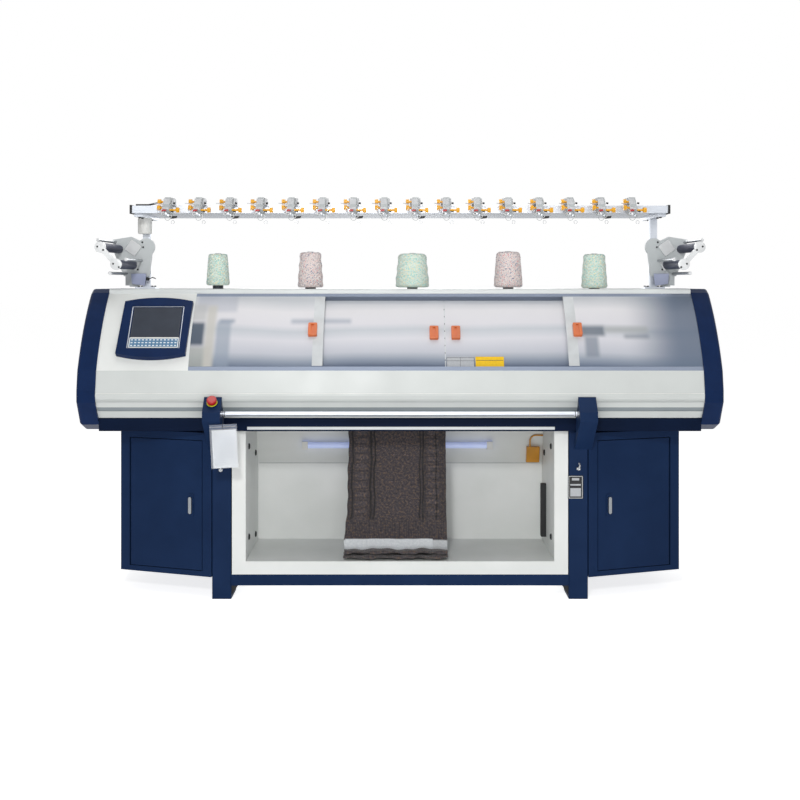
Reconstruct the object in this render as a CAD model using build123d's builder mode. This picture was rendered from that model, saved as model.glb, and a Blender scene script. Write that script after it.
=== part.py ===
from build123d import *

import os
from math import atan2, cos, degrees, hypot, radians, sin

os.makedirs("parts", exist_ok=True)

# A flat knitting machine, in millimetres. X runs along the needle beds, Y from the front to the back, Z up.
# The origin is on the floor, in the middle of the machine's width and depth.
# "Depth" is always measured back from the belly, the front edge of the head's white front panel.

# Whole machine
machine_width = 2640
machine_depth = 900
belly_reach = 60  # how far the two brackets stand in front of the belly
belly_y = belly_reach - machine_depth / 2
rear_depth = machine_depth - belly_reach

# Base
leg_span = 1560
leg_width = 80
leg_front = 100
leg_depth = 640
foot_length = 150
foot_arch = 26
rail_bottom = 56
rail_height = 46
rail_depth = 50
beam_bottom = 700
beam_height = 56
beam_front = 61
head_inner_width = 2480

# Fabric bin between the legs
bin_clearance = 3
bin_wall = 57
bin_floor = 54
bin_back_depth = 552
bin_back_thickness = 18
bin_lean_start = 500
bin_lean = 70
light_length = 850
light_offset = -12
light_diameter = 26
light_height = 585
sensor_x = 596
sensor_width = 58
sensor_bottom = 505
sensor_height = 72
sensor_thickness = 30
grip_bottom = 199
grip_height = 233
grip_depth = 395
grip_size = 24

# Side cabinets
cabinet_gap = 2
cabinet_width = 408
cabinet_slant = 145  # how much further back the front is at its outer edge
cabinet_bottom = 90
cabinet_height = 598
cabinet_wall = 4
door_frame = 24
door_margin = 42
door_bottom_margin = 22
door_top_margin = 32
door_thickness = 18
door_skin = 3
door_gap = 3
hinge_pin = 8
hinge_pin_length = 12
lock_inset = 50
lock_pad_width = 26
lock_pad_height = 92
lock_pad_thickness = 3
lock_handle_width = 14
lock_handle_height = 70
lock_handle_thickness = 10
lock_shaft = 12
lock_tongue_reach = 64
lock_tongue_thickness = 4
lock_tongue_gap = 8  # between the door's frame and the tongue behind it

# Running clearance of every shaft and pin in its hole, on the radius
run = 0.05
# Gap between pieces of different bodies that rest beside each other
seat = 0.3


def back(depth):
    """The Y of a point that lies so far behind the belly."""
    return belly_y + depth


# Base frame: two legs, the foot rails and the upper rear rail, welded together
leg_inner = leg_span / 2 - leg_width
leg_plan = [(side * (leg_inner + leg_width / 2)) for side in (-1, 1)]
leg_rear = leg_front + leg_depth
with BuildPart() as base_frame:
    for leg_x in leg_plan:
        with BuildSketch(Plane.YZ.offset(leg_x - leg_width / 2)):
            with BuildLine():
                Polyline(
                    (back(leg_front), 0),
                    (back(leg_front + foot_length), 0),
                    (back(leg_front + foot_length + foot_arch), foot_arch),
                    (back(leg_rear - foot_length - foot_arch), foot_arch),
                    (back(leg_rear - foot_length), 0),
                    (back(leg_rear), 0),
                    (back(leg_rear), beam_bottom),
                    (back(leg_front), beam_bottom),
                    close=True,
                )
            make_face()
        extrude(amount=leg_width)
    fillet(base_frame.edges().filter_by(Axis.Z), radius=6)
    for depth in (leg_front, leg_rear - rail_depth):
        with Locations((0, back(depth + rail_depth / 2), rail_bottom + rail_height / 2)):
            Box(2 * leg_inner, rail_depth, rail_height)
    with Locations((0, back(leg_rear - rail_depth / 2), beam_bottom - rail_height / 2)):
        Box(2 * leg_inner, rail_depth, rail_height)

# Bed beam under the head, with the slot that the fabric comes down through
slot_half = 680
slot_front = 180
slot_rear = 480
beam_depth = rear_depth - beam_front
with BuildPart() as bed_beam:
    with BuildSketch(Plane.XY.offset(beam_bottom)):
        with Locations((0, back(beam_front + beam_depth / 2))):
            Rectangle(head_inner_width, beam_depth)
        with Locations((0, back((slot_front + slot_rear) / 2))):
            Rectangle(2 * slot_half, slot_rear - slot_front, mode=Mode.SUBTRACT)
    extrude(amount=beam_height)
    fillet(bed_beam.edges().filter_by(Axis.X).group_by(Axis.Y)[0], radius=8)

# Fabric bin: side walls, floor and a back wall that leans forward at the top
bin_outer = leg_inner - bin_clearance
bin_inner = bin_outer - bin_wall
bin_bottom = rail_bottom + rail_height
bin_floor_top = bin_bottom + bin_floor
bin_top = beam_bottom


def bin_back(height):
    """Depth of the bin's back wall at a height."""
    above = max(height - bin_lean_start, 0) / (bin_top - bin_lean_start)
    return bin_back_depth - bin_lean * above


with BuildPart() as fabric_bin:
    with BuildSketch(Plane.YZ.offset(-bin_outer)):
        with BuildLine():
            Polyline(
                (back(leg_front), bin_bottom),
                (back(bin_back_depth + bin_back_thickness), bin_bottom),
                (back(bin_back_depth + bin_back_thickness), bin_lean_start),
                (back(bin_back(bin_top) + bin_back_thickness), bin_top),
                (back(leg_front), bin_top),
                close=True,
            )
        make_face()
    extrude(amount=2 * bin_outer)
    with BuildSketch(Plane.YZ.offset(-bin_inner)):
        with BuildLine():
            Polyline(
                (back(leg_front), bin_floor_top),
                (back(bin_back_depth), bin_floor_top),
                (back(bin_back_depth), bin_lean_start),
                (back(bin_back(bin_top)), bin_top),
                (back(leg_front), bin_top),
                close=True,
            )
        make_face()
    extrude(amount=2 * bin_inner, mode=Mode.SUBTRACT)

# Light tube under the head, with its two end sockets against the back wall
light_radius = light_diameter / 2
socket_length = 26
socket_height = light_diameter + 8
light_depth = bin_back(light_height + socket_height / 2) - light_radius - 8
with BuildPart() as light_tube:
    for side in (-1, 1):
        socket_x = light_offset + side * (light_length - socket_length) / 2
        with BuildSketch(Plane.YZ.offset(socket_x - socket_length / 2)):
            with BuildLine():
                Polyline(
                    (back(light_depth - light_radius - 4), light_height - socket_height / 2),
                    (back(bin_back(light_height - socket_height / 2)), light_height - socket_height / 2),
                    (back(bin_back(light_height + socket_height / 2)), light_height + socket_height / 2),
                    (back(light_depth - light_radius - 4), light_height + socket_height / 2),
                    close=True,
                )
            make_face()
        extrude(amount=socket_length)
    with BuildSketch(Plane.YZ.offset(light_offset - light_length / 2 + socket_length)):
        with Locations((back(light_depth), light_height)):
            Circle(light_radius)
    extrude(amount=light_length - 2 * socket_length)

# Fabric sensor on the back wall, with the short lead that goes up to the side wall
sensor_top = sensor_bottom + sensor_height
lead_diameter = 7
lead_bend = 26
lead_depth = bin_back(sensor_top + 2 * lead_bend + lead_diameter) - lead_diameter / 2 - seat
with BuildPart() as fabric_sensor:
    with BuildSketch(Plane.YZ.offset(sensor_x - sensor_width / 2)):
        with BuildLine():
            Polyline(
                (back(bin_back(sensor_bottom) - sensor_thickness), sensor_bottom),
                (back(bin_back(sensor_bottom)), sensor_bottom),
                (back(bin_back(sensor_top)), sensor_top),
                (back(bin_back(sensor_top) - sensor_thickness), sensor_top),
                close=True,
            )
        make_face()
    extrude(amount=sensor_width)
    fillet(fabric_sensor.faces().sort_by(Axis.Y)[0].edges(), radius=2)
    with BuildLine() as lead_path:
        FilletPolyline(
            (sensor_x - sensor_width / 4, back(lead_depth), sensor_top),
            (sensor_x - sensor_width / 4, back(lead_depth), sensor_top + 2 * lead_bend),
            (bin_inner, back(lead_depth), sensor_top + 2 * lead_bend),
            radius=lead_bend,
        )
    with BuildSketch(Plane.XY.offset(sensor_top)):
        with Locations((sensor_x - sensor_width / 4, back(lead_depth))):
            Circle(lead_diameter / 2)
    sweep(path=lead_path.line)

# Black grip bar on the bin's right wall
with BuildPart() as grip_bar:
    with Locations((bin_inner - grip_size / 2, back(grip_depth), grip_bottom + grip_height / 2)):
        Box(grip_size, grip_size, grip_height)
    fillet(grip_bar.faces().sort_by(Axis.X)[0].edges(), radius=5)

# Side cabinets: each is built on the left and mirrored for the right
cabinet_inner_x = -(leg_span / 2 + cabinet_gap)
cabinet_outer_x = cabinet_inner_x - cabinet_width
front_length = hypot(cabinet_width, cabinet_slant)
# The plane of the cabinet's front: its X runs outwards along the front, its Y upwards
front_plane = Plane(
    origin=(cabinet_inner_x, back(leg_front), 0),
    x_dir=(-cabinet_width, cabinet_slant, 0),
    z_dir=(cabinet_slant, cabinet_width, 0),
)
door_opening_width = front_length - 2 * door_margin
door_opening_bottom = cabinet_bottom + door_bottom_margin
door_opening_height = cabinet_height - door_bottom_margin - door_top_margin
door_middle_u = front_length / 2
door_middle_z = door_opening_bottom + door_opening_height / 2
door_width = door_opening_width - 2 * door_gap
door_height = door_opening_height - 2 * door_gap
hinge_u = door_middle_u + door_width / 2 - door_thickness / 2
hinge_reach = door_thickness / 2


def cabinet_outline(inset):
    """The cabinet's plan, drawn in from its outside by an amount."""
    return [
        (cabinet_inner_x - inset, back(leg_front) + inset),
        (cabinet_outer_x + inset, back(leg_front + cabinet_slant) + inset),
        (cabinet_outer_x + inset, back(leg_rear) - inset),
        (cabinet_inner_x - inset, back(leg_rear) - inset),
    ]


def on_front(along, inwards):
    """The place in plan of a point along the cabinet's front, so far inside it."""
    point = front_plane.from_local_coords(Vector(along, 0, inwards))
    return (point.X, point.Y)


with BuildPart() as left_cabinet:
    with BuildSketch(Plane.XY.offset(cabinet_bottom)):
        with BuildLine():
            Polyline(*cabinet_outline(0), close=True)
        make_face()
    extrude(amount=cabinet_height)
    with BuildSketch(Plane.XY.offset(cabinet_bottom + cabinet_wall)):
        with BuildLine():
            Polyline(
                (cabinet_inner_x - cabinet_wall, back(leg_front) + door_frame),
                (cabinet_outer_x + cabinet_wall, back(leg_front + cabinet_slant) + door_frame),
                (cabinet_outer_x + cabinet_wall, back(leg_rear) - cabinet_wall),
                (cabinet_inner_x - cabinet_wall, back(leg_rear) - cabinet_wall),
                close=True,
            )
        make_face()
    extrude(amount=cabinet_height - 2 * cabinet_wall, mode=Mode.SUBTRACT)
    with BuildSketch(front_plane):
        with Locations((door_middle_u, door_middle_z)):
            Rectangle(door_opening_width, door_opening_height)
    extrude(amount=2 * door_frame, both=True, mode=Mode.SUBTRACT)
    with BuildSketch(Plane.XY.offset(door_opening_bottom - hinge_pin_length)):
        with Locations(on_front(hinge_u, hinge_reach)):
            Circle(hinge_pin / 2 + run)
    extrude(amount=door_opening_height + 2 * hinge_pin_length, mode=Mode.SUBTRACT)

# Door: a folded pan with a round hinge edge and a pin at its top and bottom, and the lock's pad
lock_u = door_middle_u - door_width / 2 + lock_inset
lock_z = door_middle_z
with BuildPart() as left_door:
    with BuildSketch(front_plane):
        with Locations((door_middle_u, door_middle_z)):
            Rectangle(door_width, door_height)
    extrude(amount=door_thickness)
    with BuildSketch(front_plane.offset(door_skin)):
        with Locations((door_middle_u - door_thickness / 4, door_middle_z)):
            Rectangle(door_width - 1.5 * door_thickness, door_height - 2 * door_skin)
    extrude(amount=door_thickness, mode=Mode.SUBTRACT)
    hinge_edges = [
        edge
        for edge in left_door.edges().filter_by(Axis.Z)
        if abs(front_plane.to_local_coords(edge.center()).X - door_middle_u - door_width / 2) < 0.01
    ]
    fillet(hinge_edges, radius=door_thickness / 2 - seat)
    with BuildSketch(Plane.XY.offset(door_opening_bottom - hinge_pin_length)):
        with Locations(on_front(hinge_u, hinge_reach)):
            Circle(hinge_pin / 2)
    extrude(amount=hinge_pin_length + door_gap)
    with BuildSketch(Plane.XY.offset(door_opening_bottom + door_opening_height - door_gap)):
        with Locations(on_front(hinge_u, hinge_reach)):
            Circle(hinge_pin / 2)
    extrude(amount=hinge_pin_length + door_gap)
    with BuildSketch(front_plane):
        with Locations((lock_u, lock_z)):
            Rectangle(lock_pad_width, lock_pad_height)
    extrude(amount=-lock_pad_thickness)
    with BuildSketch(front_plane.offset(-lock_pad_thickness)):
        with Locations((lock_u, lock_z)):
            Circle(lock_shaft / 2 + run)
    extrude(amount=lock_pad_thickness + door_skin, mode=Mode.SUBTRACT)

# Lock: the turning handle in front of the pad, its shaft, and the tongue behind the door
with BuildPart() as left_lock:
    with BuildSketch(front_plane.offset(-lock_pad_thickness - seat)):
        with Locations((lock_u, lock_z)):
            SlotOverall(lock_handle_height, lock_handle_width, rotation=90)
    extrude(amount=-lock_handle_thickness)
    with BuildSketch(front_plane.offset(-lock_pad_thickness - seat)):
        with Locations((lock_u, lock_z)):
            Circle(lock_shaft / 2)
    extrude(amount=lock_pad_thickness + seat + door_frame + lock_tongue_gap)
    with BuildSketch(front_plane.offset(door_frame + lock_tongue_gap)):
        with Locations((lock_u, lock_z - lock_tongue_reach / 2)):
            SlotOverall(lock_tongue_reach + lock_handle_width, lock_handle_width, rotation=90)
    extrude(amount=lock_tongue_thickness)

# Electronics on a plate at the back of each cabinet: drive units on the left, power supply on the right
rack_margin = 40
rack_plate = 3
rack_depth = 120
rack_units = 4
transformer_size = 170
rack_unit_gap = 12
# Middle and height of each row on the plates, as shares of a plate's height
drive_row = (0.6, 0.55)
filter_row = (0.14, 0.16)
transformer_row = 0.25
supply_row = (0.8, 0.22)
filter_span = 0.8  # of the plate's width
rack_span = cabinet_width - 2 * cabinet_wall - 2 * rack_margin
rack_bottom = cabinet_bottom + cabinet_wall + rack_margin
rack_height = cabinet_height - 2 * cabinet_wall - 2 * rack_margin
rack_middle_x = cabinet_inner_x - cabinet_width / 2
rack_rear = back(leg_rear) - cabinet_wall
rack_face = rack_rear - rack_plate
unit_pitch = rack_span / rack_units
unit_width = unit_pitch - rack_unit_gap
with BuildPart() as electronics:
    with Locations((rack_middle_x, rack_rear - rack_plate / 2, rack_bottom + rack_height / 2)):
        Box(rack_span, rack_plate, rack_height)
    for number in range(rack_units):
        unit_x = rack_middle_x + (number - (rack_units - 1) / 2) * unit_pitch
        with Locations((unit_x, rack_face - rack_depth / 2, rack_bottom + rack_height * drive_row[0])):
            Box(unit_width, rack_depth, rack_height * drive_row[1])
    with Locations((rack_middle_x, rack_face - rack_depth / 4, rack_bottom + rack_height * filter_row[0])):
        Box(rack_span * filter_span, rack_depth / 2, rack_height * filter_row[1])
    with Locations((-rack_middle_x, rack_rear - rack_plate / 2, rack_bottom + rack_height / 2)):
        Box(rack_span, rack_plate, rack_height)
    with Locations((-rack_middle_x, rack_face - rack_depth / 2, rack_bottom + rack_height * transformer_row)):
        Box(transformer_size, rack_depth, transformer_size)
    for number in range(rack_units):
        unit_x = -rack_middle_x + (number - (rack_units - 1) / 2) * unit_pitch
        with Locations((unit_x, rack_face - rack_depth / 4, rack_bottom + rack_height * supply_row[0])):
            Box(unit_width, rack_depth / 2, rack_height * supply_row[1])

right_cabinet = mirror(left_cabinet.part, about=Plane.YZ)
right_door = mirror(left_door.part, about=Plane.YZ)
right_lock = mirror(left_lock.part, about=Plane.YZ)

# Head: the curved window, the belly and the lid
lid_front_depth = 248
belly_rise = 97  # above the beam
foot_rise = 100  # above the belly
lid_rise = 312  # above the window's foot
lid_thickness = 20
cover_foot_depth = 20
cover_radius = 900
fascia_bottom_depth = 61
fascia_thickness = 5
fascia_bottom = beam_bottom + beam_height
belly_height = fascia_bottom + belly_rise
cover_foot_height = belly_height + foot_rise
lid_bottom = cover_foot_height + lid_rise
lid_top = lid_bottom + lid_thickness
half_inner = head_inner_width / 2

# The window's section is an arc from the top of the fascia to the front of the lid
chord = hypot(lid_front_depth - cover_foot_depth, lid_bottom - cover_foot_height)
chord_angle = degrees(atan2(lid_bottom - cover_foot_height, lid_front_depth - cover_foot_depth))
chord_drop = (cover_radius**2 - (chord / 2) ** 2) ** 0.5
arc_middle_depth = (lid_front_depth + cover_foot_depth) / 2 + chord_drop * sin(radians(chord_angle))
arc_middle_height = (lid_bottom + cover_foot_height) / 2 - chord_drop * cos(radians(chord_angle))
foot_angle = degrees(atan2(cover_foot_height - arc_middle_height, cover_foot_depth - arc_middle_depth))
lid_angle = degrees(atan2(lid_bottom - arc_middle_height, lid_front_depth - arc_middle_depth))


def on_window(angle, inset):
    """The point of the YZ section at an angle of the window's arc, so far inside its surface."""
    radius = cover_radius - inset
    return (
        back(arc_middle_depth + radius * cos(radians(angle))),
        arc_middle_height + radius * sin(radians(angle)),
    )


def window_band(outer, inner, start, end):
    """The outline of a curved plate between two insets and two angles."""
    middle = (start + end) / 2
    ThreePointArc(on_window(start, outer), on_window(middle, outer), on_window(end, outer))
    Line(on_window(end, outer), on_window(end, inner))
    ThreePointArc(on_window(end, inner), on_window(middle, inner), on_window(start, inner))
    Line(on_window(start, inner), on_window(start, outer))


# Console panel at the left of the window
console_width = 374
console_thickness = 6
console_right = -half_inner + console_width
with BuildPart() as console_panel:
    with BuildSketch(Plane.YZ.offset(-half_inner)):
        with BuildLine():
            window_band(0, console_thickness, foot_angle, lid_angle)
        make_face()
    extrude(amount=console_width)

# Console: bowed bezel on the panel, screen and membrane keypad inside its frame
bezel_left = -1158
bezel_width = 286
bezel_height = 262
bezel_thickness = 14
bezel_bow = 18
bezel_lean = 0.05  # of half its width, by which both sides lean outward to the left at the foot
frame_inset = 34
screen_height = 146
keypad_height = 46
key_columns = 13
key_rows = 3
key_width = 11
key_height = 9
screen_margin = 8
keypad_margin = 6
key_field_margin = 11
console_angle = (foot_angle + lid_angle) / 2
console_plane = Plane(
    origin=(bezel_left + bezel_width / 2, *on_window(console_angle, 0)),
    x_dir=(1, 0, 0),
    z_dir=(0, cos(radians(console_angle)), sin(radians(console_angle))),
)
half_w = bezel_width / 2
half_h = bezel_height / 2
foot_right = half_w * (1 - bezel_lean)
foot_left = -half_w * (1 + bezel_lean)
frame_width = bezel_width - 2 * frame_inset
frame_height = bezel_height - 2 * frame_inset + bezel_bow
screen_middle = (frame_height - screen_height) / 2 - screen_margin
keypad_middle = -(frame_height - keypad_height) / 2 + keypad_margin
key_pitch_x = (frame_width - 2 * key_field_margin) / key_columns
key_pitch_y = keypad_height / (key_rows + 0.3)
panel_sag = cover_radius - (cover_radius**2 - half_h**2) ** 0.5 + 1
with BuildPart() as console_bezel:
    with BuildSketch(console_plane.offset(-panel_sag - bezel_bow)):
        with BuildLine():
            ThreePointArc((-half_w, half_h), (0, half_h + bezel_bow), (half_w, half_h))
            Line((half_w, half_h), (foot_right, -half_h))
            ThreePointArc((foot_right, -half_h), (0, -half_h - bezel_bow), (foot_left, -half_h))
            Line((foot_left, -half_h), (-half_w, half_h))
        make_face()
    extrude(amount=panel_sag + bezel_bow + bezel_thickness)
    fillet(console_bezel.faces().sort_by(Axis.Z)[-1].edges().filter_by(GeomType.CIRCLE), radius=3)
    with BuildSketch(Plane.YZ.offset(bezel_left - bezel_width)):
        with BuildLine():
            window_band(-seat / 3, cover_radius / 4, foot_angle - 30, lid_angle + 30)
        make_face()
    extrude(amount=3 * bezel_width, mode=Mode.SUBTRACT)
    with BuildSketch(console_plane.offset(bezel_thickness)):
        Rectangle(frame_width, frame_height)
    extrude(amount=-bezel_thickness / 2, mode=Mode.SUBTRACT)
with BuildPart() as console_screen:
    with BuildSketch(console_plane.offset(bezel_thickness / 2)):
        with Locations((0, screen_middle)):
            Rectangle(frame_width - 2 * screen_margin, screen_height)
    extrude(amount=3)
with BuildPart() as console_keypad:
    with BuildSketch(console_plane.offset(bezel_thickness / 2)):
        with Locations((0, keypad_middle)):
            Rectangle(frame_width - 2 * keypad_margin, keypad_height)
    extrude(amount=2)
    with BuildSketch(console_plane.offset(bezel_thickness / 2 + 2)):
        with Locations((0, keypad_middle)):
            with GridLocations(key_pitch_x, key_pitch_y, key_columns, key_rows):
                Rectangle(key_width, key_height)
    extrude(amount=1)

# Front fascia below the window, with its seam and the recessed band
belly_fall = 14
seam_height = belly_height - 26
band_top = seam_height - 24
band_bottom = band_top - 17
band_recess = 4


def fascia_depth(height):
    """Depth of the fascia's front at a height: it leans back above and below the belly."""
    if height >= belly_height:
        return cover_foot_depth * (height - belly_height) / (cover_foot_height - belly_height)
    return fascia_bottom_depth * ((belly_height - height) / (belly_height - fascia_bottom)) ** 1.6


fascia_turns = [
    belly_height - belly_fall,
    seam_height + 2,
    band_top,
    band_top,
    band_bottom,
    band_bottom,
    fascia_bottom,
]
fascia_insets = [0, 0, 0, band_recess, band_recess, 0, 0]
with BuildPart() as front_fascia:
    with BuildSketch(Plane.YZ.offset(-half_inner)):
        with BuildLine():
            Polyline(
                on_window(foot_angle, 0),
                (back(0), belly_height),
                *[(back(fascia_depth(z) + inset), z) for z, inset in zip(fascia_turns, fascia_insets)],
                (back(fascia_bottom_depth + fascia_thickness), fascia_bottom),
                (back(fascia_depth(band_bottom) + band_recess + fascia_thickness), band_bottom),
                (back(fascia_depth(band_top) + band_recess + fascia_thickness), band_top),
                (back(fascia_thickness), belly_height),
                on_window(foot_angle, fascia_thickness),
                close=True,
            )
        make_face()
    extrude(amount=head_inner_width)

# End caps: moulded ends of the head, a little proud of the covers
cap_width = (machine_width - head_inner_width) / 2
cap_proud = 5
cap_back_slope = 60
cap_chin_depth = 138
cap_round = 16
with BuildPart() as right_end_cap:
    with BuildSketch(Plane.YZ.offset(half_inner)):
        with BuildLine():
            ThreePointArc(
                on_window(foot_angle, -cap_proud),
                on_window((foot_angle + lid_angle) / 2, -cap_proud),
                on_window(lid_angle, -cap_proud),
            )
            Polyline(
                on_window(lid_angle, -cap_proud),
                (back(lid_front_depth + 30), lid_top),
                (back(rear_depth - cap_back_slope), lid_top),
                (back(rear_depth), lid_top - cap_back_slope),
                (back(rear_depth), beam_bottom),
                (back(cap_chin_depth), beam_bottom),
                (back(fascia_bottom_depth), fascia_bottom - beam_height / 2),
                (back(0), belly_height - 30),
                (back(0), belly_height + 20),
                on_window(foot_angle, -cap_proud),
            )
        make_face()
    extrude(amount=cap_width)
    fillet(right_end_cap.faces().sort_by(Axis.X)[-1].edges(), radius=cap_round)
left_end_cap = mirror(right_end_cap.part, about=Plane.YZ)

# Lid, which is also the table that the yarn cones stand on, and the rear cover with its vents
rear_sheet = 5
vent_count = 12
vent_pitch = 24
vent_width = 6
vent_height = 130
vent_group_x = 800
# Yarn cones: middle, width and height of each
cone_depth = 400
cone_stand_diameter = 44
cone_stand_height = 14
cone_table = [(-799, 105, 147), (-393, 115, 163), (54, 152, 157), (475, 130, 165), (853, 117, 158)]
cone_taper = 0.84
with BuildPart() as top_lid:
    with Locations((0, back((lid_front_depth + rear_depth) / 2), lid_bottom + lid_thickness / 2)):
        Box(head_inner_width, rear_depth - lid_front_depth, lid_thickness)
    fillet(top_lid.edges().filter_by(Axis.X).group_by(Axis.Z)[-1], radius=lid_thickness / 2)
    for place, width, height in cone_table:
        with Locations((place, back(cone_depth), lid_top + cone_stand_height / 2)):
            Cylinder(cone_stand_diameter / 2, cone_stand_height)
with BuildPart() as rear_cover:
    rear_cover_height = lid_bottom - fascia_bottom
    with Locations((0, back(rear_depth - rear_sheet / 2), fascia_bottom + rear_cover_height / 2)):
        Box(head_inner_width, rear_sheet, rear_cover_height)
    for side in (-1, 1):
        with Locations((side * vent_group_x, back(rear_depth), fascia_bottom + rear_cover_height / 2)):
            with GridLocations(vent_pitch, 1, vent_count, 1):
                Box(vent_width, 3 * rear_sheet, vent_height, mode=Mode.SUBTRACT)

# Sliding covers on two tracks, and the tracks
cover_width = 548
cover_thickness = 4
track_pitch = 24
track_length = 18  # along the arc
handle_width = 37
handle_height = 61
handle_proud = 15
handle_angle_share = 0.47
handle_inset = 45
track_angle = degrees(track_length / cover_radius)
cover_start = foot_angle - track_angle - degrees(seat / cover_radius)
cover_end = lid_angle + track_angle + degrees(seat / cover_radius)
track_depth = track_pitch + cover_thickness + 4
window_left = console_right
window_right = half_inner
with BuildPart() as cover_tracks:
    for start, end in ((foot_angle, foot_angle - track_angle), (lid_angle + track_angle, lid_angle)):
        with BuildSketch(Plane.YZ.offset(window_left)):
            with BuildLine():
                window_band(0.5, track_depth, start, end)
            make_face()
        extrude(amount=window_right - window_left)

# Name, left edge, inset of its track and the side of its handle, for each cover
middle_edge = window_left + cover_width + (window_right - window_left - 2 * cover_width) / 2
cover_table = {
    "cover_left": (window_left + seat, 0, 1),
    "cover_middle_left": (middle_edge - cover_width - seat, track_pitch, 1),
    "cover_middle_right": (middle_edge + seat, track_pitch, -1),
    "cover_right": (window_right - cover_width - seat, 0, -1),
}
handle_angle = cover_start + (cover_end - cover_start) * handle_angle_share
covers = {}
handles = {}
for name, (left, inset, handle_side) in cover_table.items():
    with BuildPart() as cover:
        with BuildSketch(Plane.YZ.offset(left)):
            with BuildLine():
                window_band(inset, inset + cover_thickness, cover_start, cover_end)
            make_face()
        extrude(amount=cover_width)
    covers[name] = cover
    handle_x = left + cover_width / 2 + handle_side * (cover_width / 2 - handle_inset)
    handle_plane = Plane(
        origin=(handle_x, *on_window(handle_angle, inset)),
        x_dir=(1, 0, 0),
        z_dir=(0, cos(radians(handle_angle)), sin(radians(handle_angle))),
    )
    with BuildPart() as handle:
        with BuildSketch(handle_plane.offset(0.6)):
            RectangleRounded(handle_width, handle_height, 5)
        extrude(amount=handle_proud)
        with BuildSketch(handle_plane.offset(handle_proud + 0.6)):
            RectangleRounded(handle_width / 3, handle_height - 14, 3)
        extrude(amount=-handle_proud / 3, mode=Mode.SUBTRACT)
    handles[name.replace("cover", "handle")] = handle

# Brackets that reach from the legs round the belly, and the operating bar between them
bracket_middle_x = 760
bracket_width = 72
bracket_nose = 36
bracket_foot_bottom = beam_bottom - 80
bracket_foot_top = beam_bottom - 10
bracket_gap = 2
bar_diameter = 22
bar_depth = -26
bar_height = fascia_bottom + 25
bar_journal = 12
bar_journal_length = 20
bracket_front_height = bar_height + 8
bracket_inner_x = bracket_middle_x - bracket_width / 2
# Stop button's sizes and its plane on the left bracket's sloping top
stop_ring_diameter = 43
stop_ring_height = 7
stop_head_diameter = 40
stop_head_height = 16
stop_stem = 22
stop_travel = 5
stop_hole = 14
stop_share = 0.4  # how far down the bracket's sloping top the button stands
bracket_top = belly_height - 6
top_slope = atan2(bracket_top - bracket_front_height, belly_reach - bracket_gap)
stop_plane = Plane(
    origin=(
        -bracket_middle_x,
        back(-bracket_gap - stop_share * (belly_reach - bracket_gap)),
        bracket_top - stop_share * (bracket_top - bracket_front_height),
    ),
    x_dir=(1, 0, 0),
    z_dir=(0, -sin(top_slope), cos(top_slope)),
)
stop_axis = Axis(stop_plane.origin, stop_plane.z_dir)
with BuildPart() as brackets:
    for side in (-1, 1):
        with BuildSketch(Plane.YZ.offset(side * bracket_middle_x - bracket_width / 2)):
            with BuildLine():
                Polyline(
                    (back(-bracket_gap), bracket_top),
                    (back(-belly_reach), bracket_front_height),
                    (back(-belly_reach), bracket_front_height - bracket_nose),
                    (back(leg_front), bracket_foot_bottom),
                    (back(leg_front), bracket_foot_top),
                    (back(fascia_bottom_depth - bracket_gap), beam_bottom - bracket_gap),
                    (back(fascia_bottom_depth - bracket_gap), fascia_bottom - bracket_gap),
                    (back(fascia_depth(band_top) - bracket_gap), band_top - bracket_gap),
                    close=True,
                )
            make_face()
        extrude(amount=bracket_width)
    fillet(brackets.edges().filter_by(Axis.X).group_by(Axis.Y)[0], radius=5)
    for side in (-1, 1):
        with BuildSketch(Plane.YZ.offset(side * (bracket_inner_x + bar_journal_length))):
            with Locations((back(bar_depth), bar_height)):
                Circle(bar_journal / 2 + run)
        extrude(amount=-side * 2 * bar_journal_length, mode=Mode.SUBTRACT)
    with BuildSketch(stop_plane):
        Circle(stop_ring_diameter / 2)
    extrude(amount=stop_ring_height)
    with BuildSketch(stop_plane.offset(stop_ring_height)):
        Circle(stop_stem / 2 + run)
    extrude(amount=-stop_ring_height - stop_hole, mode=Mode.SUBTRACT)
bar_half = bracket_inner_x - seat
with BuildPart() as operating_bar:
    with BuildSketch(Plane.YZ.offset(-bar_half)):
        with Locations((back(bar_depth), bar_height)):
            Circle(bar_diameter / 2)
    extrude(amount=2 * bar_half)
    with BuildSketch(Plane.YZ.offset(-bar_half - bar_journal_length + 1)):
        with Locations((back(bar_depth), bar_height)):
            Circle(bar_journal / 2)
    extrude(amount=2 * (bar_half + bar_journal_length - 1))

# Stop button: a stem in the ring, under a round head
with BuildPart() as stop_button:
    with BuildSketch(stop_plane.offset(stop_ring_height + stop_travel + seat)):
        Circle(stop_stem / 2)
    extrude(amount=-stop_ring_height - stop_travel)
    with BuildSketch(stop_plane.offset(stop_ring_height + stop_travel + seat)):
        Circle(stop_head_diameter / 2)
    extrude(amount=stop_head_height)
    fillet(stop_button.faces().sort_by(stop_axis)[-1].edges(), radius=6)

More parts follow.
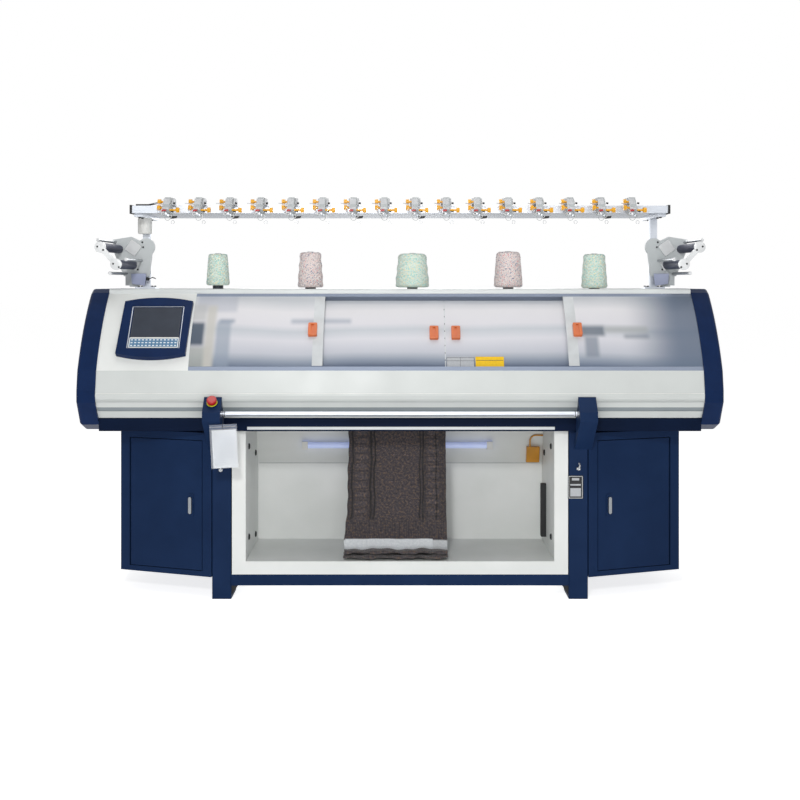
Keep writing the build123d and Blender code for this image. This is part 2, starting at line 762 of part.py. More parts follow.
# Document sleeve that hangs by its strap from the operating bar's left end
sleeve_width = 110
sleeve_height = 176
sleeve_thickness = 4
sleeve_x = -712
sleeve_depth = -55
sleeve_top = 745
strap_width = 8
strap_thickness = 2
strap_x = -bracket_inner_x + strap_width
with BuildPart() as document_sleeve:
    with Locations((sleeve_x, back(sleeve_depth), sleeve_top - sleeve_height / 2)):
        Box(sleeve_width, sleeve_thickness, sleeve_height)
    strap_top = bar_height - bar_diameter / 2 - seat
    with BuildSketch(Plane.YZ.offset(strap_x - strap_width / 2)):
        with BuildLine():
            Polyline(
                (back(sleeve_depth) - strap_thickness / 2, sleeve_top - strap_width),
                (back(sleeve_depth) + strap_thickness / 2, sleeve_top - strap_width),
                (back(sleeve_depth) + strap_thickness / 2, sleeve_top),
                (back(bar_depth) + strap_thickness, strap_top),
                (back(bar_depth) - strap_thickness, strap_top),
                (back(sleeve_depth) - strap_thickness / 2, sleeve_top),
                close=True,
            )
        make_face()
    extrude(amount=strap_width)

# Needle beds: two slabs that meet in a ridge over the fabric slot, with a slot for each group of needles
apex_depth = 280
apex_height = fascia_bottom + 254
apex_gap = 16
bed_angle = 40
bed_length = 1400
bed_run = 248
bed_thickness = 25
needle_slots = 70
slot_pitch = bed_length / needle_slots
needle_slot_width = 7
needle_slot_depth = 6
needle_slot_run = 190
bed_under = apex_height - bed_thickness / cos(radians(bed_angle))


def on_bed(side, distance, above):
    """The point of the YZ section so far down a bed's slope and so far above its face."""
    angle = radians(bed_angle)
    return (
        back(apex_depth + side * (apex_gap / 2 + distance * cos(angle) + above * sin(angle))),
        apex_height - distance * sin(angle) + above * cos(angle),
    )


beds = {}
for name, side in (("front_needle_bed", -1), ("rear_needle_bed", 1)):
    bed_plane = Plane(
        origin=(0, back(apex_depth + side * apex_gap / 2), apex_height),
        x_dir=(1, 0, 0),
        z_dir=(0, side * sin(radians(bed_angle)), cos(radians(bed_angle))),
    )
    with BuildPart() as bed:
        with BuildSketch(Plane.YZ.offset(-bed_length / 2)):
            with BuildLine():
                Polyline(
                    on_bed(side, 0, 0),
                    on_bed(side, bed_run, 0),
                    on_bed(side, bed_run, -bed_thickness),
                    (back(apex_depth + side * apex_gap / 2), bed_under),
                    close=True,
                )
            make_face()
        extrude(amount=bed_length)
        with BuildSketch(bed_plane):
            with Locations((0, side * needle_slot_run / 2)):
                with GridLocations(slot_pitch, 1, needle_slots, 1):
                    Rectangle(needle_slot_width, needle_slot_run)
        extrude(amount=-needle_slot_depth, mode=Mode.SUBTRACT)
    beds[name] = bed

# Take-down rollers under the ridge
main_roller = 60
press_roller_size = 36
roller_height = fascia_bottom + 94
fabric_gap = 8
fabric_depth = apex_depth
roller_half = 655
roller_journal = 20
main_roller_depth = fabric_depth + fabric_gap / 2 + main_roller / 2
press_roller_depth = fabric_depth - fabric_gap / 2 - press_roller_size / 2

# Bed frame: two end plates that carry the beds and the take-down rollers
plate_thickness = 24
plate_half = 680
plate_foot_front = 110
plate_foot_rear = 2 * apex_depth - plate_foot_front
with BuildPart() as bed_frame:
    for plate_x in (-plate_half - plate_thickness / 2, plate_half - plate_thickness / 2):
        with BuildSketch(Plane.YZ.offset(plate_x)):
            with BuildLine():
                Polyline(
                    (back(plate_foot_front), fascia_bottom),
                    on_bed(-1, bed_run - 6, -bed_thickness),
                    (back(apex_depth - apex_gap / 2), bed_under),
                    (back(apex_depth + apex_gap / 2), bed_under),
                    on_bed(1, bed_run - 6, -bed_thickness),
                    (back(plate_foot_rear), fascia_bottom),
                    close=True,
                )
            make_face()
            roller_places = [(back(depth), roller_height) for depth in (main_roller_depth, press_roller_depth)]
            with Locations(*roller_places):
                Circle(roller_journal / 2 + run, mode=Mode.SUBTRACT)
        extrude(amount=plate_thickness)
rollers = {}
for name, size, depth in (
    ("take_down_roller", main_roller, main_roller_depth),
    ("press_roller", press_roller_size, press_roller_depth),
):
    with BuildPart() as roller:
        with BuildSketch(Plane.YZ.offset(-roller_half)):
            with Locations((back(depth), roller_height)):
                Circle(size / 2)
        extrude(amount=2 * roller_half)
        with BuildSketch(Plane.YZ.offset(-plate_half)):
            with Locations((back(depth), roller_height)):
                Circle(roller_journal / 2)
        extrude(amount=2 * plate_half)
    rollers[name] = roller

# Cam carriage: a bridge over the yarn rails with an arm down each bed
carriage_middle_x = -366
carriage_width = 250
carriage_arm = 60
carriage_inner_half = 66
carriage_under = apex_height + 95
carriage_top = carriage_under + 45
carriage_top_half = 90
carriage_start = 62
carriage_end = 230
carriage_shoulder_half = 130
carriage_shoulder = apex_height + 74
carriage_outline = []
for side in (-1, 1):
    arm = [
        (back(apex_depth + side * carriage_inner_half), carriage_under),
        (back(apex_depth + side * carriage_inner_half), apex_height + 10),
        on_bed(side, carriage_start, seat),
        on_bed(side, carriage_end, seat),
        on_bed(side, carriage_end, carriage_arm),
        (back(apex_depth + side * carriage_shoulder_half), carriage_shoulder),
        (back(apex_depth + side * carriage_top_half), carriage_top),
    ]
    carriage_outline += arm[::-1] if side == 1 else arm
with BuildPart() as carriage:
    with BuildSketch(Plane.YZ.offset(carriage_middle_x - carriage_width / 2)):
        with BuildLine():
            Polyline(*carriage_outline, close=True)
        make_face()
    extrude(amount=carriage_width)

# Yarn carrier rails between two end stands, and a carrier on each rail
rail_spacing = 30
rail_count = 4
rail_width = 8
rail_tall = 30
rail_low = apex_height + 40
yarn_rail_half = 1160
stand_thickness = 14
carrier_width = 30
carrier_wall = 6
carrier_gap = 60
carrier_pitch = 45
carrier_reach_height = apex_height + 6
rail_offsets = [(number - (rail_count - 1) / 2) * rail_spacing for number in range(rail_count)]
with BuildPart() as yarn_rails:
    for offset_y in rail_offsets:
        with Locations((0, back(apex_depth + offset_y), rail_low + rail_tall / 2)):
            Box(2 * yarn_rail_half, rail_width, rail_tall)
    for side in (-1, 1):
        stand_x = side * (yarn_rail_half + stand_thickness / 2)
        with Locations((stand_x, back(apex_depth), (fascia_bottom + rail_low + rail_tall) / 2)):
            Box(stand_thickness, rail_count * rail_spacing, rail_low + rail_tall - fascia_bottom)
first_carrier_x = carriage_middle_x + carriage_width / 2 + carrier_gap
carrier_x = [first_carrier_x + carrier_pitch * number for number in range(rail_count)]
with BuildPart() as yarn_carriers:
    for place, offset_y in zip(carrier_x, rail_offsets):
        with BuildSketch(Plane.YZ.offset(place - carrier_width / 2)):
            with Locations((back(apex_depth + offset_y), rail_low + rail_tall / 2)):
                Rectangle(rail_width + 2 * carrier_wall, rail_tall + 2 * carrier_wall)
                Rectangle(rail_width + 2 * seat, rail_tall + 2 * seat, mode=Mode.SUBTRACT)
        extrude(amount=carrier_width)
        with BuildSketch(Plane.YZ.offset(place - carrier_wall / 2)):
            with BuildLine():
                Polyline(
                    (back(apex_depth + offset_y - carrier_wall), rail_low - carrier_wall / 2),
                    (back(apex_depth + offset_y + carrier_wall), rail_low - carrier_wall / 2),
                    (back(apex_depth + 2), carrier_reach_height),
                    (back(apex_depth - 2), carrier_reach_height),
                    close=True,
                )
            make_face()
        extrude(amount=carrier_wall)

# Drive: two pulleys on upright shafts, the belt round them and the motor under the right one
pulley_half = 1130
pulley_diameter = 96
pulley_depth = 600
belt_low = fascia_bottom + 144
belt_width = 26
belt_thickness = 4
shaft_diameter = 24
motor_size = 120
motor_top = belt_low - 20
with BuildPart() as drive_belt:
    with BuildSketch(Plane.XY.offset(belt_low)):
        with Locations((0, back(pulley_depth))):
            SlotCenterToCenter(2 * pulley_half, pulley_diameter + 2 * (belt_thickness + seat))
            SlotCenterToCenter(2 * pulley_half, pulley_diameter + 2 * seat, mode=Mode.SUBTRACT)
    extrude(amount=belt_width)
with BuildPart() as drive_motor:
    with Locations((pulley_half, back(pulley_depth), (fascia_bottom + motor_top) / 2)):
        Box(motor_size, motor_size, motor_top - fascia_bottom)
    with BuildSketch(Plane.XY.offset(motor_top)):
        with Locations((pulley_half, back(pulley_depth))):
            Circle(shaft_diameter / 2)
    extrude(amount=belt_low + belt_width - motor_top)
    with Locations((-pulley_half, back(pulley_depth), (fascia_bottom + motor_top) / 2)):
        Box(motor_size / 2, motor_size / 2, motor_top - fascia_bottom)
    with BuildSketch(Plane.XY.offset(motor_top)):
        with Locations((-pulley_half, back(pulley_depth))):
            Circle(shaft_diameter / 2)
    extrude(amount=belt_low + belt_width - motor_top)
    for side in (-1, 1):
        with BuildSketch(Plane.XY.offset(belt_low - 2)):
            with Locations((side * pulley_half, back(pulley_depth))):
                Circle(pulley_diameter / 2)
        extrude(amount=belt_width + 4)

# Top rail: a wide shallow box on two posts, with a tray behind it and dark caps on its ends
top_rail_half = 1155
top_rail_front = 300
top_rail_box_depth = 180
top_rail_depth = 450
top_rail_bottom = lid_top + 327
top_rail_height = 32
top_rail_wall = 3
rail_cap = 10
rail_cap_lip = 3
post_x = 1135
post_size = 32
post_depth = 520
post_arm_front = 330
post_arm_height = 14
post_arm_width = 36
post_arm_setback = 40
post_groove = 4
post_foot_size = 90
post_foot_height = 8
top_rail_top = top_rail_bottom + top_rail_height
top_rail_box_y = back(top_rail_front + top_rail_box_depth / 2)
post_arm_low = top_rail_bottom - post_arm_height
with BuildPart() as top_rail:
    with BuildSketch(Plane.YZ.offset(-top_rail_half)):
        with Locations((top_rail_box_y, top_rail_bottom + top_rail_height / 2)):
            Rectangle(top_rail_box_depth, top_rail_height)
        with Locations((back(top_rail_front + top_rail_depth / 2), top_rail_bottom + top_rail_wall / 2)):
            Rectangle(top_rail_depth, top_rail_wall)
        rear_lip = back(top_rail_front + top_rail_depth - top_rail_wall / 2)
        with Locations((rear_lip, top_rail_bottom + top_rail_height / 2)):
            Rectangle(top_rail_wall, top_rail_height)
        with Locations((top_rail_box_y, top_rail_bottom + top_rail_height / 2)):
            Rectangle(
                top_rail_box_depth - 2 * top_rail_wall,
                top_rail_height - 2 * top_rail_wall,
                mode=Mode.SUBTRACT,
            )
    extrude(amount=2 * top_rail_half)
with BuildPart() as rail_end_caps:
    for side in (-1, 1):
        cap_x = side * (top_rail_half + rail_cap / 2)
        with Locations((cap_x, top_rail_box_y, top_rail_bottom + top_rail_height / 2)):
            Box(rail_cap, top_rail_box_depth + 2 * rail_cap_lip, top_rail_height + 2 * rail_cap_lip)
with BuildPart() as rail_posts:
    for side in (-1, 1):
        post_height = post_arm_low - lid_top
        with Locations((side * post_x, back(post_depth), lid_top + post_height / 2)):
            Box(post_size, post_size, post_height)
            Box(post_size + 2 * post_groove, post_size / 3, post_height, mode=Mode.SUBTRACT)
            Box(post_size - 2 * post_groove, post_size / 3, post_height)
        arm_depth = top_rail_front + top_rail_depth - post_arm_front - post_arm_setback
        arm_y = back(post_arm_front + arm_depth / 2)
        with Locations((side * post_x, arm_y, post_arm_low + post_arm_height / 2)):
            Box(post_arm_width, arm_depth, post_arm_height)
        with Locations((side * post_x, back(post_depth), lid_top + post_foot_height / 2)):
            Box(post_foot_size, post_foot_size, post_foot_height)
signal_box_size = 62
signal_box_height = 70
with BuildPart() as signal_box:
    box_y = back(post_depth) - post_size / 2 - signal_box_size / 2
    with Locations((-post_x, box_y, post_arm_low - signal_box_height / 2)):
        Cylinder(signal_box_size / 2, signal_box_height)
    fillet(signal_box.faces().sort_by(Axis.Z)[0].edges(), radius=6)

# Sixteen yarn tension units on the rail's front edge
tension_count = 16
tension_pitch = 132
tension_depth = 268  # middle of a unit
tension_width = 26
tension_length = 128
tension_low = top_rail_bottom - 6
tension_top = tension_low + 70
tension_hook = 34
knob_diameter = 22
knob_length = 14
guide_wire = 4
guide_width = 44
guide_drop = 26
tension_x = [(number - (tension_count - 1) / 2) * tension_pitch for number in range(tension_count)]
unit_front = back(tension_depth - tension_length / 2)
unit_rear = back(tension_depth + tension_length / 2)
clamp_y = back(top_rail_front)
with BuildPart() as tension_units:
    for place in tension_x:
        with BuildSketch(Plane.YZ.offset(place - tension_width / 2)):
            with BuildLine():
                Polyline(
                    (clamp_y, tension_low),
                    (clamp_y, top_rail_top),
                    (unit_rear, top_rail_top),
                    (unit_rear, top_rail_top + 12),
                    (unit_rear - 22, tension_top),
                    (unit_front + 42, tension_top),
                    (unit_front, tension_top - 44),
                    (unit_front, tension_low + 14),
                    (unit_front + 14, tension_low),
                    close=True,
                )
            make_face()
        extrude(amount=tension_width)
        guide_y = unit_front + tension_hook
        with Locations((place, guide_y, tension_low - guide_wire)):
            Box(guide_width, guide_wire * 3, guide_wire * 2)
        with BuildSketch(Plane.XZ.offset(-guide_y)):
            with Locations((place, tension_low - 2 * guide_wire - guide_drop / 3)):
                Circle(guide_drop / 2)
                Circle(guide_drop / 2 - guide_wire / 2, mode=Mode.SUBTRACT)
        extrude(amount=guide_wire / 4, both=True)
knob_high = 50  # above the unit's foot
knob_middle = 24
knob_low = 14
knob_high_along = 34
knob_middle_along = 20
knob_low_along = 12
knob_places = [
    (-1, knob_high_along, tension_low + knob_high),
    (-1, knob_middle_along, tension_low + knob_middle),
    (1, knob_low_along, tension_low + knob_low),
]
with BuildPart() as tension_knobs:
    for place in tension_x:
        for side, along, height in knob_places:
            knob_face = place + side * tension_width / 2
            with BuildSketch(Plane.YZ.offset(knob_face)):
                with Locations((unit_front + along, height)):
                    Circle(knob_diameter / 5)
            extrude(amount=side * knob_length * (2 if side == 1 else 1))
            with BuildSketch(Plane.YZ.offset(knob_face + side * knob_length * (2 if side == 1 else 1))):
                with Locations((unit_front + along, height)):
                    Circle(knob_diameter / 2)
            extrude(amount=side * knob_length)
# Side feeders on the posts: a plate with three rods, and two driven rollers that point to the front
feeder_plate = 8
feeder_depth = post_depth - post_size / 2
roller_length = 330
feed_roller_diameter = 38
feed_shaft = 12
feeder_middle_z = lid_top + 145
upper_feed = (1256, feeder_middle_z + 31)
lower_feed = (1190, feeder_middle_z - 41)
feed_rods = ((1272, feeder_middle_z + 62), (1155, feeder_middle_z - 20), (1222, feeder_middle_z - 78))
feed_rod_diameter = 12
feed_rod_reach = 0.9  # of a roller's length
feeder_round = 40
feeder_middle_x = 1200
foot_bracket_width = 76
foot_bracket_height = 52
foot_bracket_rise = 40
plate_front = back(feeder_depth) - feeder_plate
with BuildPart() as right_feeder:
    with BuildSketch(Plane.XZ.offset(-back(feeder_depth))):
        with BuildLine():
            Polyline(
                (post_x - post_size, feeder_middle_z + feeder_round),
                (feeder_middle_x, upper_feed[1] + 1.4 * feeder_round),
                (feed_rods[0][0] + feed_rod_diameter, feed_rods[0][1] + feed_rod_diameter),
                (upper_feed[0] + feeder_round / 2, upper_feed[1] - feeder_round / 2),
                (feed_rods[2][0] + feed_rod_diameter, feed_rods[2][1] - feed_rod_diameter),
                (post_x - post_size / 2, feed_rods[2][1] - feed_rod_diameter),
                close=True,
            )
        make_face()
        with Locations((post_x, feeder_middle_z + feeder_round)):
            Circle(feeder_round)
        with Locations(upper_feed, lower_feed):
            Circle(feed_shaft / 2 + run, mode=Mode.SUBTRACT)
    extrude(amount=feeder_plate)
    for rod in feed_rods:
        with BuildSketch(Plane.XZ.offset(-plate_front)):
            with Locations(rod):
                Circle(feed_rod_diameter / 2)
        extrude(amount=roller_length * feed_rod_reach)
    foot_bracket_x = post_x + post_size / 2 + foot_bracket_width / 2
    with Locations((foot_bracket_x, plate_front, lid_top + foot_bracket_rise)):
        foot_align = (Align.CENTER, Align.MIN, Align.CENTER)
        Box(foot_bracket_width, feeder_plate, foot_bracket_height, align=foot_align)
    leg_low = lid_top + post_foot_height
    leg_height = feed_rods[2][1] - leg_low
    with Locations((foot_bracket_x, plate_front, leg_low)):
        Box(foot_bracket_width / 2, feeder_plate, leg_height, align=(Align.CENTER, Align.MIN, Align.MIN))
feed_rollers = {}
for name, place in (("upper", upper_feed), ("lower", lower_feed)):
    with BuildPart() as feed_roller:
        with BuildSketch(Plane.XZ.offset(-plate_front + seat)):
            with Locations(place):
                Circle(feed_roller_diameter / 2)
        extrude(amount=roller_length)
        with BuildSketch(Plane.XZ.offset(-plate_front + seat)):
            with Locations(place):
                Circle(feed_shaft / 2)
        extrude(amount=-feeder_plate - 2 * seat)
        with BuildSketch(Plane.XZ.offset(-plate_front + seat + roller_length)):
            with Locations(place):
                Circle(feed_roller_diameter / 2 + 3)
        extrude(amount=6)
    feed_rollers[f"right_{name}_roller"] = feed_roller.part
    feed_rollers[f"left_{name}_roller"] = mirror(feed_roller.part, about=Plane.YZ)
left_feeder = mirror(right_feeder.part, about=Plane.YZ)

# Yarn cones on their stands
with BuildPart() as yarn_cones:
    for place, width, height in cone_table:
        cone_low = lid_top + cone_stand_height
        with BuildSketch(Plane.XZ.offset(-back(cone_depth))):
            with BuildLine():
                Polyline(
                    (place, cone_low),
                    (place + width * 0.42, cone_low),
                    (place + width / 2, cone_low + height * 0.06),
                    (place + width / 2 * cone_taper, cone_low + height * 0.93),
                    (place + width * 0.32, cone_low + height),
                    (place, cone_low + height),
                    close=True,
                )
            make_face()
        revolve(axis=Axis((place, back(cone_depth), 0), (0, 0, 1)))

# Knitted panel: down from the rollers through the slot, forward to the bin's front, and folded on its floor
fabric_left = -222
fabric_width = 419
fabric_thickness = 6
fabric_top = apex_height - 70
fabric_fold_height = bin_floor_top + 59
fabric_fold_depth = 205
stack_depth = 96
stack_height = 44
with BuildPart() as knit_fabric:
    half_t = fabric_thickness / 2
    with BuildSketch(Plane.YZ.offset(fabric_left)):
        with BuildLine():
            Polyline(
                (back(fabric_depth - half_t), fabric_top),
                (back(fabric_depth - half_t), beam_bottom),
                (back(fabric_fold_depth - half_t), fabric_fold_height),
                (back(fabric_fold_depth - half_t - stack_depth / 2), bin_floor_top + stack_height),
                (back(fabric_fold_depth - stack_depth), bin_floor_top + stack_height - 8),
                (back(fabric_fold_depth - stack_depth), bin_floor_top),
                (back(fabric_fold_depth + half_t), bin_floor_top),
                (back(fabric_fold_depth + half_t), fabric_fold_height),
                (back(fabric_depth + half_t), beam_bottom),
                (back(fabric_depth + half_t), fabric_top),
                close=True,
            )
        make_face()
    extrude(amount=fabric_width)

# Cable from the rail's left end along its top to the first tension unit
cable_diameter = 8
cable_depth = top_rail_front + 24
cable_lift = cable_diameter / 2
cable_start = -top_rail_half + 12
cable_end = tension_x[0] - tension_width / 2
cable_start_run = 55
cable_end_run = 30
cable_end_drop = 16
cable_bend = 24
with BuildPart() as rail_cable:
    with BuildLine() as cable_path:
        FilletPolyline(
            (cable_start, back(cable_depth), top_rail_top + cable_lift),
            (cable_start + cable_start_run, back(cable_depth), top_rail_top + cable_lift),
            (cable_end - cable_end_run, back(cable_depth), tension_top - cable_end_drop),
            (cable_end, back(cable_depth), tension_top - cable_end_drop),
            radius=cable_bend,
        )
    with BuildSketch(Plane.YZ.offset(cable_start)):
        with Locations((back(cable_depth), top_rail_top + cable_lift)):
            Circle(cable_diameter / 2)
    sweep(path=cable_path.line)

# Every finished piece, by name
pieces = {
    "base_frame": base_frame.part,
    "bed_beam": bed_beam.part,
    "fabric_bin": fabric_bin.part,
    "light_tube": light_tube.part,
    "fabric_sensor": fabric_sensor.part,
    "grip_bar": grip_bar.part,
    "left_cabinet": left_cabinet.part,
    "right_cabinet": right_cabinet,
    "left_door": left_door.part,
    "right_door": right_door,
    "left_lock": left_lock.part,
    "right_lock": right_lock,
    "electronics": electronics.part,
    "console_panel": console_panel.part,
    "console_bezel": console_bezel.part,
    "console_screen": console_screen.part,
    "console_keypad": console_keypad.part,
    "front_fascia": front_fascia.part,
    "left_end_cap": left_end_cap,
    "right_end_cap": right_end_cap.part,
    "top_lid": top_lid.part,
    "rear_cover": rear_cover.part,
    "cover_tracks": cover_tracks.part,
    "brackets": brackets.part,
    "operating_bar": operating_bar.part,
    "stop_button": stop_button.part,
    "document_sleeve": document_sleeve.part,
    "bed_frame": bed_frame.part,
    "carriage": carriage.part,
    "yarn_rails": yarn_rails.part,
    "yarn_carriers": yarn_carriers.part,
    "drive_belt": drive_belt.part,
    "drive_motor": drive_motor.part,
    "top_rail": top_rail.part,
    "rail_end_caps": rail_end_caps.part,
    "rail_posts": rail_posts.part,
    "signal_box": signal_box.part,
    "tension_units": tension_units.part,
    "tension_knobs": tension_knobs.part,
    "left_feeder": left_feeder,
    "right_feeder": right_feeder.part,
    "yarn_cones": yarn_cones.part,
    "knit_fabric": knit_fabric.part,
    "rail_cable": rail_cable.part,
}
pieces.update({name: built.part for name, built in covers.items()})
pieces.update({name: built.part for name, built in handles.items()})
pieces.update({name: built.part for name, built in beds.items()})
pieces.update({name: built.part for name, built in rollers.items()})
pieces.update(feed_rollers)
for name, piece in pieces.items():
    piece.label = name
    export_step(piece, f"parts/{name}.step")
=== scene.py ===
from functools import partial

import bmesh
import bpy
import mathutils
import numpy as np
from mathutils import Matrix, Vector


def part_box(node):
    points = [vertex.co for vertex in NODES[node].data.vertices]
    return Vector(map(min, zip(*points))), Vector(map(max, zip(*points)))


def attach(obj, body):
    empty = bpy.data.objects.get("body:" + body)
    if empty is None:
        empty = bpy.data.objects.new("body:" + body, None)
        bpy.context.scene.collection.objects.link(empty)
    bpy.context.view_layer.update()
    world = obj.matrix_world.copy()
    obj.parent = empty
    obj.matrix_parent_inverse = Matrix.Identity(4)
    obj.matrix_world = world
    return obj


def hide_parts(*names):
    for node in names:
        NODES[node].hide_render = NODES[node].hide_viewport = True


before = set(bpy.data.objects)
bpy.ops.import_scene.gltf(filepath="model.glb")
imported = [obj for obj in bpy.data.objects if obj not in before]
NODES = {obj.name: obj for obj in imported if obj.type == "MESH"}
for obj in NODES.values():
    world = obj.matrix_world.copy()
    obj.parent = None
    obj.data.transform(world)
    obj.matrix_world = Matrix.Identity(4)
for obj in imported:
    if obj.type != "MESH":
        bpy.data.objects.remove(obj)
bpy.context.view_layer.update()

# The photograph's camera: level, this far in front of the belly, as high as the photo's horizon says
CAMERA_DISTANCE = 5.0
CAMERA_HEIGHT = 1.319
FOCAL_PIXELS = 1229.7
FRAME_PIXELS = 800
HORIZON_ROW = 281
SENSOR = 36.0

# The head's section, as the solids have it: the window's arc runs from the fascia's top to the lid's front
BELLY_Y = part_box("front_fascia")[0][1]
WINDOW_RADIUS = 0.9
WINDOW_FOOT = (0.020, 0.953)
WINDOW_LID = (0.248, 1.265)

# Half the width of a drawn shadow's soft edge
SHADOW_EDGE = 0.012


def rgb(code, share=1.0):
    """Linear colour of an sRGB hex value, dimmed to a share of itself."""
    part = np.array([int(code[i : i + 2], 16) / 255 for i in (1, 3, 5)])
    linear = np.where(part <= 0.04045, part / 12.92, ((part + 0.055) / 1.055) ** 2.4)
    return (*(linear * share).tolist(), 1.0)


def feed(made, inputs):
    """Gives a node's sockets their values, or links them to other nodes' outputs."""
    for key, value in dict(inputs).items():
        if isinstance(value, bpy.types.NodeSocket):
            made.id_data.links.new(value, made.inputs[key])
        else:
            made.inputs[key].default_value = value


def node(tree, kind, inputs=(), stops=(), out=0, **settings):
    """Adds a node and gives one of its outputs: stops are a ramp's places, each with a colour as rgb takes it."""
    made = tree.nodes.new("ShaderNode" + kind)
    for key, value in settings.items():
        setattr(made, key, value)
    feed(made, inputs)
    if stops:
        elements = made.color_ramp.elements
        while len(elements) < len(stops):
            elements.new(0.5)
        for element, (place, *colour) in zip(elements, stops):
            element.position = place
            element.color = rgb(*colour)
    return made.outputs[out]


def finish(name, **sockets):
    """Gives a new material, the function that adds nodes to it, its shader and the object coordinates."""
    material = bpy.data.materials.new(name)
    material.use_nodes = True
    shader = next(n for n in material.node_tree.nodes if n.type == "BSDF_PRINCIPLED")
    feed(shader, {key.replace("_", " "): value for key, value in sockets.items()})
    add = partial(node, material.node_tree)
    return material, add, shader, add("TexCoord", out="Object")


def dress(add, shader, pattern, stops, relief, depth, strength=0.4):
    """Colours a shader by a ramp over a pattern, and lifts its surface by a relief so many metres deep."""
    tone = add("ValToRGB", {0: pattern}, stops)
    lift = add("Bump", {"Height": relief, "Distance": depth, "Strength": strength})
    feed(shader, {"Base Color": tone, "Normal": lift})


def enamel(name, colour, shade, roughness, shine=0.5, peel_mm=4.0):
    """Sprayed and baked enamel on sheet steel.

    An orange-peel ripple breaks its gloss, and thin dust dulls it and shifts its colour in patches.
    """
    material, add, shader, where = finish(name, IOR=1.45, Specular_IOR_Level=shine, Coat_Weight=0.2 * shine)
    dust = add("TexNoise", {"Vector": where, "Scale": 5.0, "Detail": 4.0})
    limits = {"From Min": 0.3, "From Max": 0.7, "To Min": roughness, "To Max": roughness + 0.12}
    feed(shader, {"Roughness": add("MapRange", {"Value": dust, **limits})})
    peel = add("TexNoise", {"Vector": where, "Scale": 1000 / peel_mm, "Detail": 2.0})
    dress(add, shader, dust, [(0.35, colour), (0.75, shade)], peel, 0.00006)
    return material


def moulding(name, colour, roughness, grain_mm=1.2, coat=0.0, shine=0.5, alpha=1.0):
    """Injection-moulded plastic: a fine spark grain, a little uneven in colour where the melt flowed."""
    sockets = {"Specular_IOR_Level": shine, "Coat_Weight": coat, "Roughness": roughness, "Alpha": alpha}
    material, add, shader, where = finish(name, IOR=1.46, **sockets)
    flow = add("TexNoise", {"Vector": where, "Scale": 14.0, "Detail": 3.0})
    grain = add("TexNoise", {"Vector": where, "Scale": 1000 / grain_mm, "Detail": 1.0})
    dress(add, shader, flow, [(0.3, colour, 0.82), (0.7, colour)], grain, 0.00005)
    return material


def metal(name, colour, roughness, brush=(1.0, 1.0, 1.0), brush_mm=1.0):
    """Bare metal: fine lines along the way it was drawn or ground, which stretch its highlights."""
    material, add, shader, where = finish(name, Metallic=1.0)
    drawn = add("Mapping", {"Vector": where, "Scale": brush})
    lines = add("TexNoise", {"Vector": drawn, "Scale": 1000 / brush_mm, "Detail": 2.0})
    limits = {"From Min": 0.3, "From Max": 0.7, "To Min": roughness - 0.06, "To Max": roughness + 0.08}
    feed(shader, {"Roughness": add("MapRange", {"Value": lines, **limits})})
    dress(add, shader, lines, [(0.3, colour, 0.85), (0.7, colour)], lines, 0.00003)
    return material


def shadow(add, where, x, z, half_x, half_z):
    """How strongly a soft block of shadow falls at a point: 1 inside its half sizes, fading to 0 beyond."""
    scaled = {"Location": (-x / half_x, 0, -z / half_z), "Scale": (1 / half_x, 0, 1 / half_z)}
    near = add("Mapping", {"Vector": where, **scaled})
    away = add("VectorMath", {0: near}, operation="ABSOLUTE")
    sides = add("SeparateXYZ", {0: away}).node.outputs
    fades = []
    for axis, half in (("X", half_x), ("Z", half_z)):
        soft = SHADOW_EDGE / half
        limits = {"From Min": 1 - soft, "From Max": 1 + soft, "To Min": 1.0, "To Max": 0.0}
        fades.append(add("MapRange", {"Value": sides[axis], **limits}, interpolation_type="SMOOTHSTEP"))
    return add("Math", {0: fades[0], 1: fades[1]}, operation="MULTIPLY")


# The sheet's colour at shares of the window's height, from its foot to the lid: painted shade, darkest at the
# foot, in a band where the yarn rails run and under the lid
WINDOW_SHADE_TONES = [(0.03, "#6c7990"), (0.12, "#9fa9b8"), (0.22, "#d0d3dc"), (0.40, "#e6e6ec")]
WINDOW_SHADE_TONES += [(0.52, "#d0d5dc"), (0.60, "#e9e8ed"), (0.78, "#efeef1"), (0.93, "#d2d6db")]

# Painted shadows of the frame parts behind the sheet, as soft blocks, some dark and some pale: middle across and
# up, half sizes, strength and colour
WINDOW_SHADOWS = [
    (-0.770, 1.225, 0.085, 0.036, 0.50, "#b4bac9"),
    (-0.842, 1.187, 0.030, 0.034, 0.70, "#c6c7c6"),
    (-0.835, 1.002, 0.055, 0.046, 0.75, "#b4b7b1"),
    (-0.734, 1.052, 0.030, 0.100, 0.65, "#9aa7b8"),
    (-0.845, 1.100, 0.032, 0.046, 0.95, "#465669"),
    (-0.789, 1.080, 0.020, 0.135, 0.85, "#d3d1ca"),
    (-0.722, 1.151, 0.032, 0.008, 0.75, "#8f9db0"),
    (-0.330, 1.150, 0.125, 0.009, 0.60, "#9ba7b9"),
    (0.792, 1.048, 0.028, 0.042, 0.75, "#8892a0"),
    (0.802, 1.112, 0.048, 0.020, 0.85, "#697583"),
    (0.940, 1.117, 0.090, 0.013, 0.60, "#b0b3b2"),
    (0.980, 1.090, 0.052, 0.009, 0.60, "#838c98"),
]


